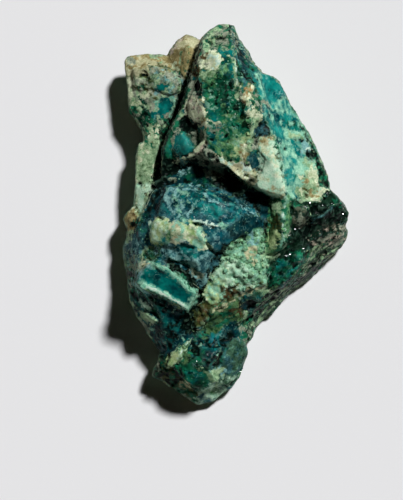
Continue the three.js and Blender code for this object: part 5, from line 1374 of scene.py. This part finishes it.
def standGlints():  # flat flakes that catch the lamp
    chance = np.random.default_rng(glints["seed"])
    homes = [(home, chance.uniform(*glints["radius"])) for home in homesOn(glints, chance)]
    for x, y, radius in glints["spots"]:
        away = np.hypot(plan[:, 0] - x, plan[:, 1] - y) - glints["preferHigh"] * carved[:, 2]
        homes.append((int(away.argmin()), radius))
    at, faces, source = [], [], []
    for home, radius in homes:
        axis = np.array(glints["facing"]) + glints["wobble"] * chance.normal(size=3)
        turns = np.sort(chance.random(5)) * glints["around"]
        width = chance.uniform(glints["narrow"], 1.0)
        ring = np.stack([np.cos(turns), np.sin(turns) * width, np.zeros(5)], axis=1) * radius
        flake = np.vstack([ring, ring * glints["foot"] - (0, 0, radius + glints["stand"] * 2)])
        first = len(flake) * len(source)
        faces += [tuple(first + i for i in range(5)), tuple(first + 9 - i for i in range(5))]
        for corner in range(5):
            after = (corner + 1) % 5
            faces.append((first + corner, first + corner + 5, first + after + 5, first + after))
        middle = carved[home] + normals[home] * glints["stand"]
        at.append(middle + flake @ frameAlong(axis, chance.random() * prism["turn"]))
        source.append(home)
    return placed("glintFlakes", at, faces, np.repeat(source, len(flake)))


crystalPieces = [standCrystals(name, kind) for name, kind in crystalSets.items()]
flakes = standGlints()
print("crystals stand:", sum(kind["count"] for kind in crystalSets.values()))

# the stone's material

finish = {
    "frayGrain": 0.75,  # size of the specks along a border (mm)
    "noiseEdge": 0.62,  # how much of every noise is its finer steps
    "noiseShift": (17.3, 5.9, 11.7),  # how far each further noise lies from the one before (mm)
    "blotch": 1.3,  # size of the tone's blotches
    "glassBlotch": 1.7,  # the same in the glassy minerals, which are smoother
    "speck": 0.27,  # size of its specks
    "crystal": 0.55,  # size of the small faces that catch the light
    "grit": 0.12,  # size of the chalky grain
    "glintDepth": 0.5,  # how far a small face tips (mm)
    "facetTone": 0.4,  # how much lighter or darker it may be than the next
    "chalkTone": (2.2, -1.7),  # spread and middle of the two tones of chalky minerals
    "glassTone": (3.0, -1.0),  # and of glassy ones
    "glassyGrit": 0.2,  # minerals with no more grit than this are glassy
    "facetedGlint": 0.4,  # and with this much glint their tone has facets
    "frayDetail": {True: 2.5, False: 4.0},  # finer steps along a border, where it is glassy and where not
    "gritDepth": 0.07,
    # Painted shade: the colour is darkened towards a dark green in the hollows of the relief.
    "hollowShade": 0.5,
    "hollowShadeColour": (14, 24, 20),
    # Painted highlight: the colour is lightened towards a pale green on the edges of the relief.
    "edgeLight": 0.22,
    "edgeHighlightColour": (128, 178, 150),
    "specular": 0.03,
    "webSize": 2.3,  # the spread of the pale hair lines (mm)
    "fineWeb": 1.1,
    "webLine": 0.02,
    "webPatches": (9.0, -4.6),  # the lines show only in parts of the stone
    "webStrength": 2.6,
    "webColour": (142, 204, 192),
    "fleckApart": 0.5,  # between pale specks (mm)
    "fleckSize": 0.6,
    "fleckEdge": 12.0,
    "fleckStrength": 1.6,
    "fleckColour": (126, 184, 154),
    "pepperColour": (22, 48, 36),
}


def linear(colour):  # from the 0 to 255 of a colour card
    tones = [tone / 255 / 12.92 if tone <= 10 else ((tone / 255 + 0.055) / 1.055) ** 2.4 for tone in colour]
    return (*tones, 1.0)


class Sheet:  # one material's nodes, joined as they are made
    def __init__(self, material):
        self.nodes = material.node_tree.nodes
        self.links = material.node_tree.links

    def add(self, kind, inputs=(), **settings):
        node = self.nodes.new(kind)
        for key, value in settings.items():
            setattr(node, key, value)
        for key, value in dict(inputs).items():
            if isinstance(value, bpy.types.NodeSocket):
                self.links.new(value, node.inputs[key])
            else:
                node.inputs[key].default_value = value
        return node

    def math(self, operation, *values, clamp=False):
        node = self.add("ShaderNodeMath", enumerate(values), operation=operation, use_clamp=clamp)
        return node.outputs[0]

    def vector(self, operation, first, second):
        return self.add("ShaderNodeVectorMath", {0: first, 1: second}, operation=operation).outputs[0]

    def noise(self, vector, size, detail=1.0, seed=0.0):
        shift = [seed * step for step in finish["noiseShift"]]
        moved = self.vector("ADD", vector, shift) if seed else vector
        inputs = {"Vector": moved, "Scale": 1 / size, "Detail": detail, "Roughness": finish["noiseEdge"]}
        return self.add("ShaderNodeTexNoise", inputs).outputs["Fac"]

    def mix(self, factor, first, second):
        node = self.add("ShaderNodeMix", {"Factor": factor}, data_type="RGBA")
        for socket, value in zip((node.inputs[6], node.inputs[7]), (first, second)):
            if isinstance(value, bpy.types.NodeSocket):
                self.links.new(value, socket)
            else:
                socket.default_value = value
        return node.outputs[2]

    def score(self, name):
        return self.add("ShaderNodeAttribute", attribute_name=name).outputs["Fac"]


def hairLine(sheet, noise):  # a thin curve where the noise crosses its middle
    away = sheet.math("ABSOLUTE", sheet.math("SUBTRACT", noise, 0.5))
    return sheet.math("MULTIPLY_ADD", away, -1 / finish["webLine"], 1.0, clamp=True)


def stoneMaterial():
    material = bpy.data.materials.new("dioptaseRock")
    material.use_nodes = True
    sheet = Sheet(material)
    shader = sheet.nodes["Principled BSDF"]
    shader.inputs["Specular IOR Level"].default_value = finish["specular"]
    place = sheet.add("ShaderNodeTexCoord").outputs["Object"]
    place = sheet.add("ShaderNodeVectorMath", {0: place, "Scale": 1 / mm}, operation="SCALE").outputs[0]

    crystals = sheet.add("ShaderNodeTexVoronoi", {"Vector": place, "Scale": 1 / finish["crystal"]})
    blotch = sheet.noise(place, finish["blotch"], 4.0, 1)
    speck = sheet.noise(place, finish["speck"], 4.0, 2)
    facetTone = sheet.add("ShaderNodeSeparateColor", {"Color": crystals.outputs["Color"]}).outputs[0]
    chalky = sheet.math("MULTIPLY_ADD", sheet.math("ADD", blotch, speck), *finish["chalkTone"], clamp=True)
    glassNoise = sheet.noise(place, finish["glassBlotch"], 2.0, 4)
    glassy = sheet.math("MULTIPLY_ADD", glassNoise, *finish["glassTone"], clamp=True)
    facetDepth = finish["facetTone"]
    faceted = {}
    for tone in (chalky, glassy):
        lower = sheet.math("SUBTRACT", tone, facetDepth / 2)
        faceted[tone] = sheet.math("MULTIPLY_ADD", facetTone, facetDepth, lower, clamp=True)

    best = colour = touch = None
    for number, (name, mineral) in enumerate(minerals.items()):
        clear = mineral["grit"] <= finish["glassyGrit"]
        tone = glassy if clear else chalky
        tone = faceted[tone] if mineral["glint"] >= finish["facetedGlint"] else tone
        own = sheet.mix(tone, linear(mineral["dark"]), linear(mineral["light"]))
        feel = (mineral["rough"], mineral["grit"], mineral["glint"], 1)
        specks = sheet.noise(place, finish["frayGrain"], finish["frayDetail"][clear], 10 + number)
        fray = mineral.get("fray", paint["fray"])
        score = sheet.math("MULTIPLY_ADD", sheet.math("SUBTRACT", specks, 0.5), fray, sheet.score(name))
        if best is None:
            best, colour, touch = score, own, feel
            continue
        share = sheet.math("MULTIPLY_ADD", sheet.math("SUBTRACT", score, best), 0.5 / mineral["edge"], 0.5,
                           clamp=True)
        colour = sheet.mix(share, colour, own)
        touch = sheet.mix(share, touch, feel)
        best = sheet.math("MAXIMUM", best, score)

    patchy = sheet.math("MULTIPLY_ADD", blotch, *finish["webPatches"], clamp=True)
    wide = hairLine(sheet, sheet.noise(place, finish["webSize"], 2.0, 6))
    fine = hairLine(sheet, sheet.noise(place, finish["fineWeb"], 1.0, 7))
    line = sheet.math("MULTIPLY", sheet.math("MAXIMUM", wide, fine), patchy)
    shown = sheet.math("MULTIPLY", sheet.score("web"), finish["webStrength"])
    web = sheet.math("MULTIPLY", line, shown, clamp=True)
    colour = sheet.mix(web, colour, linear(finish["webColour"]))

    dots = sheet.add("ShaderNodeTexVoronoi", {"Vector": place, "Scale": 1 / finish["fleckApart"]})
    pick = sheet.add("ShaderNodeSeparateColor", {"Color": dots.outputs["Color"]}).outputs[1]
    size = sheet.math("MULTIPLY_ADD", pick, finish["fleckSize"], -0.5 * finish["fleckSize"])
    near = sheet.math("SUBTRACT", size, dots.outputs["Distance"])
    spot = sheet.math("MULTIPLY_ADD", near, finish["fleckEdge"], 0.5, clamp=True)
    for way, tint in ((1, "fleckColour"), (-1, "pepperColour")):
        shown = sheet.math("MULTIPLY", sheet.score("fleck"), way * finish["fleckStrength"], clamp=True)
        colour = sheet.mix(sheet.math("MULTIPLY", spot, shown), colour, linear(finish[tint]))

    hollow = sheet.score("hollow")
    # painted shade, darkest in the deepest hollows
    shade = sheet.math("MULTIPLY", hollow, finish["hollowShade"], clamp=True)
    # painted highlight on the edges
    light = sheet.math("MULTIPLY", hollow, -finish["edgeLight"], clamp=True)
    colour = sheet.mix(shade, colour, linear(finish["hollowShadeColour"]))
    colour = sheet.mix(light, colour, linear(finish["edgeHighlightColour"]))
    parts = sheet.add("ShaderNodeSeparateColor", {"Color": touch})
    sheet.links.new(colour, shader.inputs["Base Color"])
    sheet.links.new(parts.outputs[0], shader.inputs["Roughness"])

    tip = sheet.vector("SUBTRACT", crystals.outputs["Color"], (0.5, 0.5, 0.5))
    fromMiddle = sheet.vector("SUBTRACT", place, crystals.outputs["Position"])
    facet = sheet.add("ShaderNodeVectorMath", {0: tip, 1: fromMiddle}, operation="DOT_PRODUCT")
    facets = {"Strength": parts.outputs[2], "Distance": finish["glintDepth"] * mm,
              "Height": facet.outputs["Value"]}
    tipped = sheet.add("ShaderNodeBump", facets).outputs[0]
    grit = {"Strength": parts.outputs[1], "Distance": finish["gritDepth"] * mm, "Normal": tipped,
            "Height": sheet.noise(place, finish["grit"], 2.0, 3)}
    sheet.links.new(sheet.add("ShaderNodeBump", grit).outputs[0], shader.inputs["Normal"])
    return material


def flakeMaterial():
    material = bpy.data.materials.new("clearFlake")
    material.use_nodes = True
    shader = material.node_tree.nodes["Principled BSDF"]
    shader.inputs["Base Color"].default_value = linear(glints["colour"])
    shader.inputs["Roughness"].default_value = glints["rough"]
    shader.inputs["Specular IOR Level"].default_value = glints["gloss"]
    return material


rock = stoneMaterial()
flakeStuff = flakeMaterial()
fineMesh.materials.clear()
fineMesh.materials.append(rock)
for piece in crystalPieces:
    piece.data.materials.append(rock)
flakes.data.materials.append(flakeStuff)
fineMesh.polygons.foreach_set("use_smooth", np.ones(len(fineMesh.polygons), dtype=bool))
dioptaseStone = bpy.data.objects.new("dioptaseStone", fineMesh)
bpy.context.scene.collection.objects.link(dioptaseStone)
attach(dioptaseStone, "root")
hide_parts(stone["node"])
print("the stone is dressed")
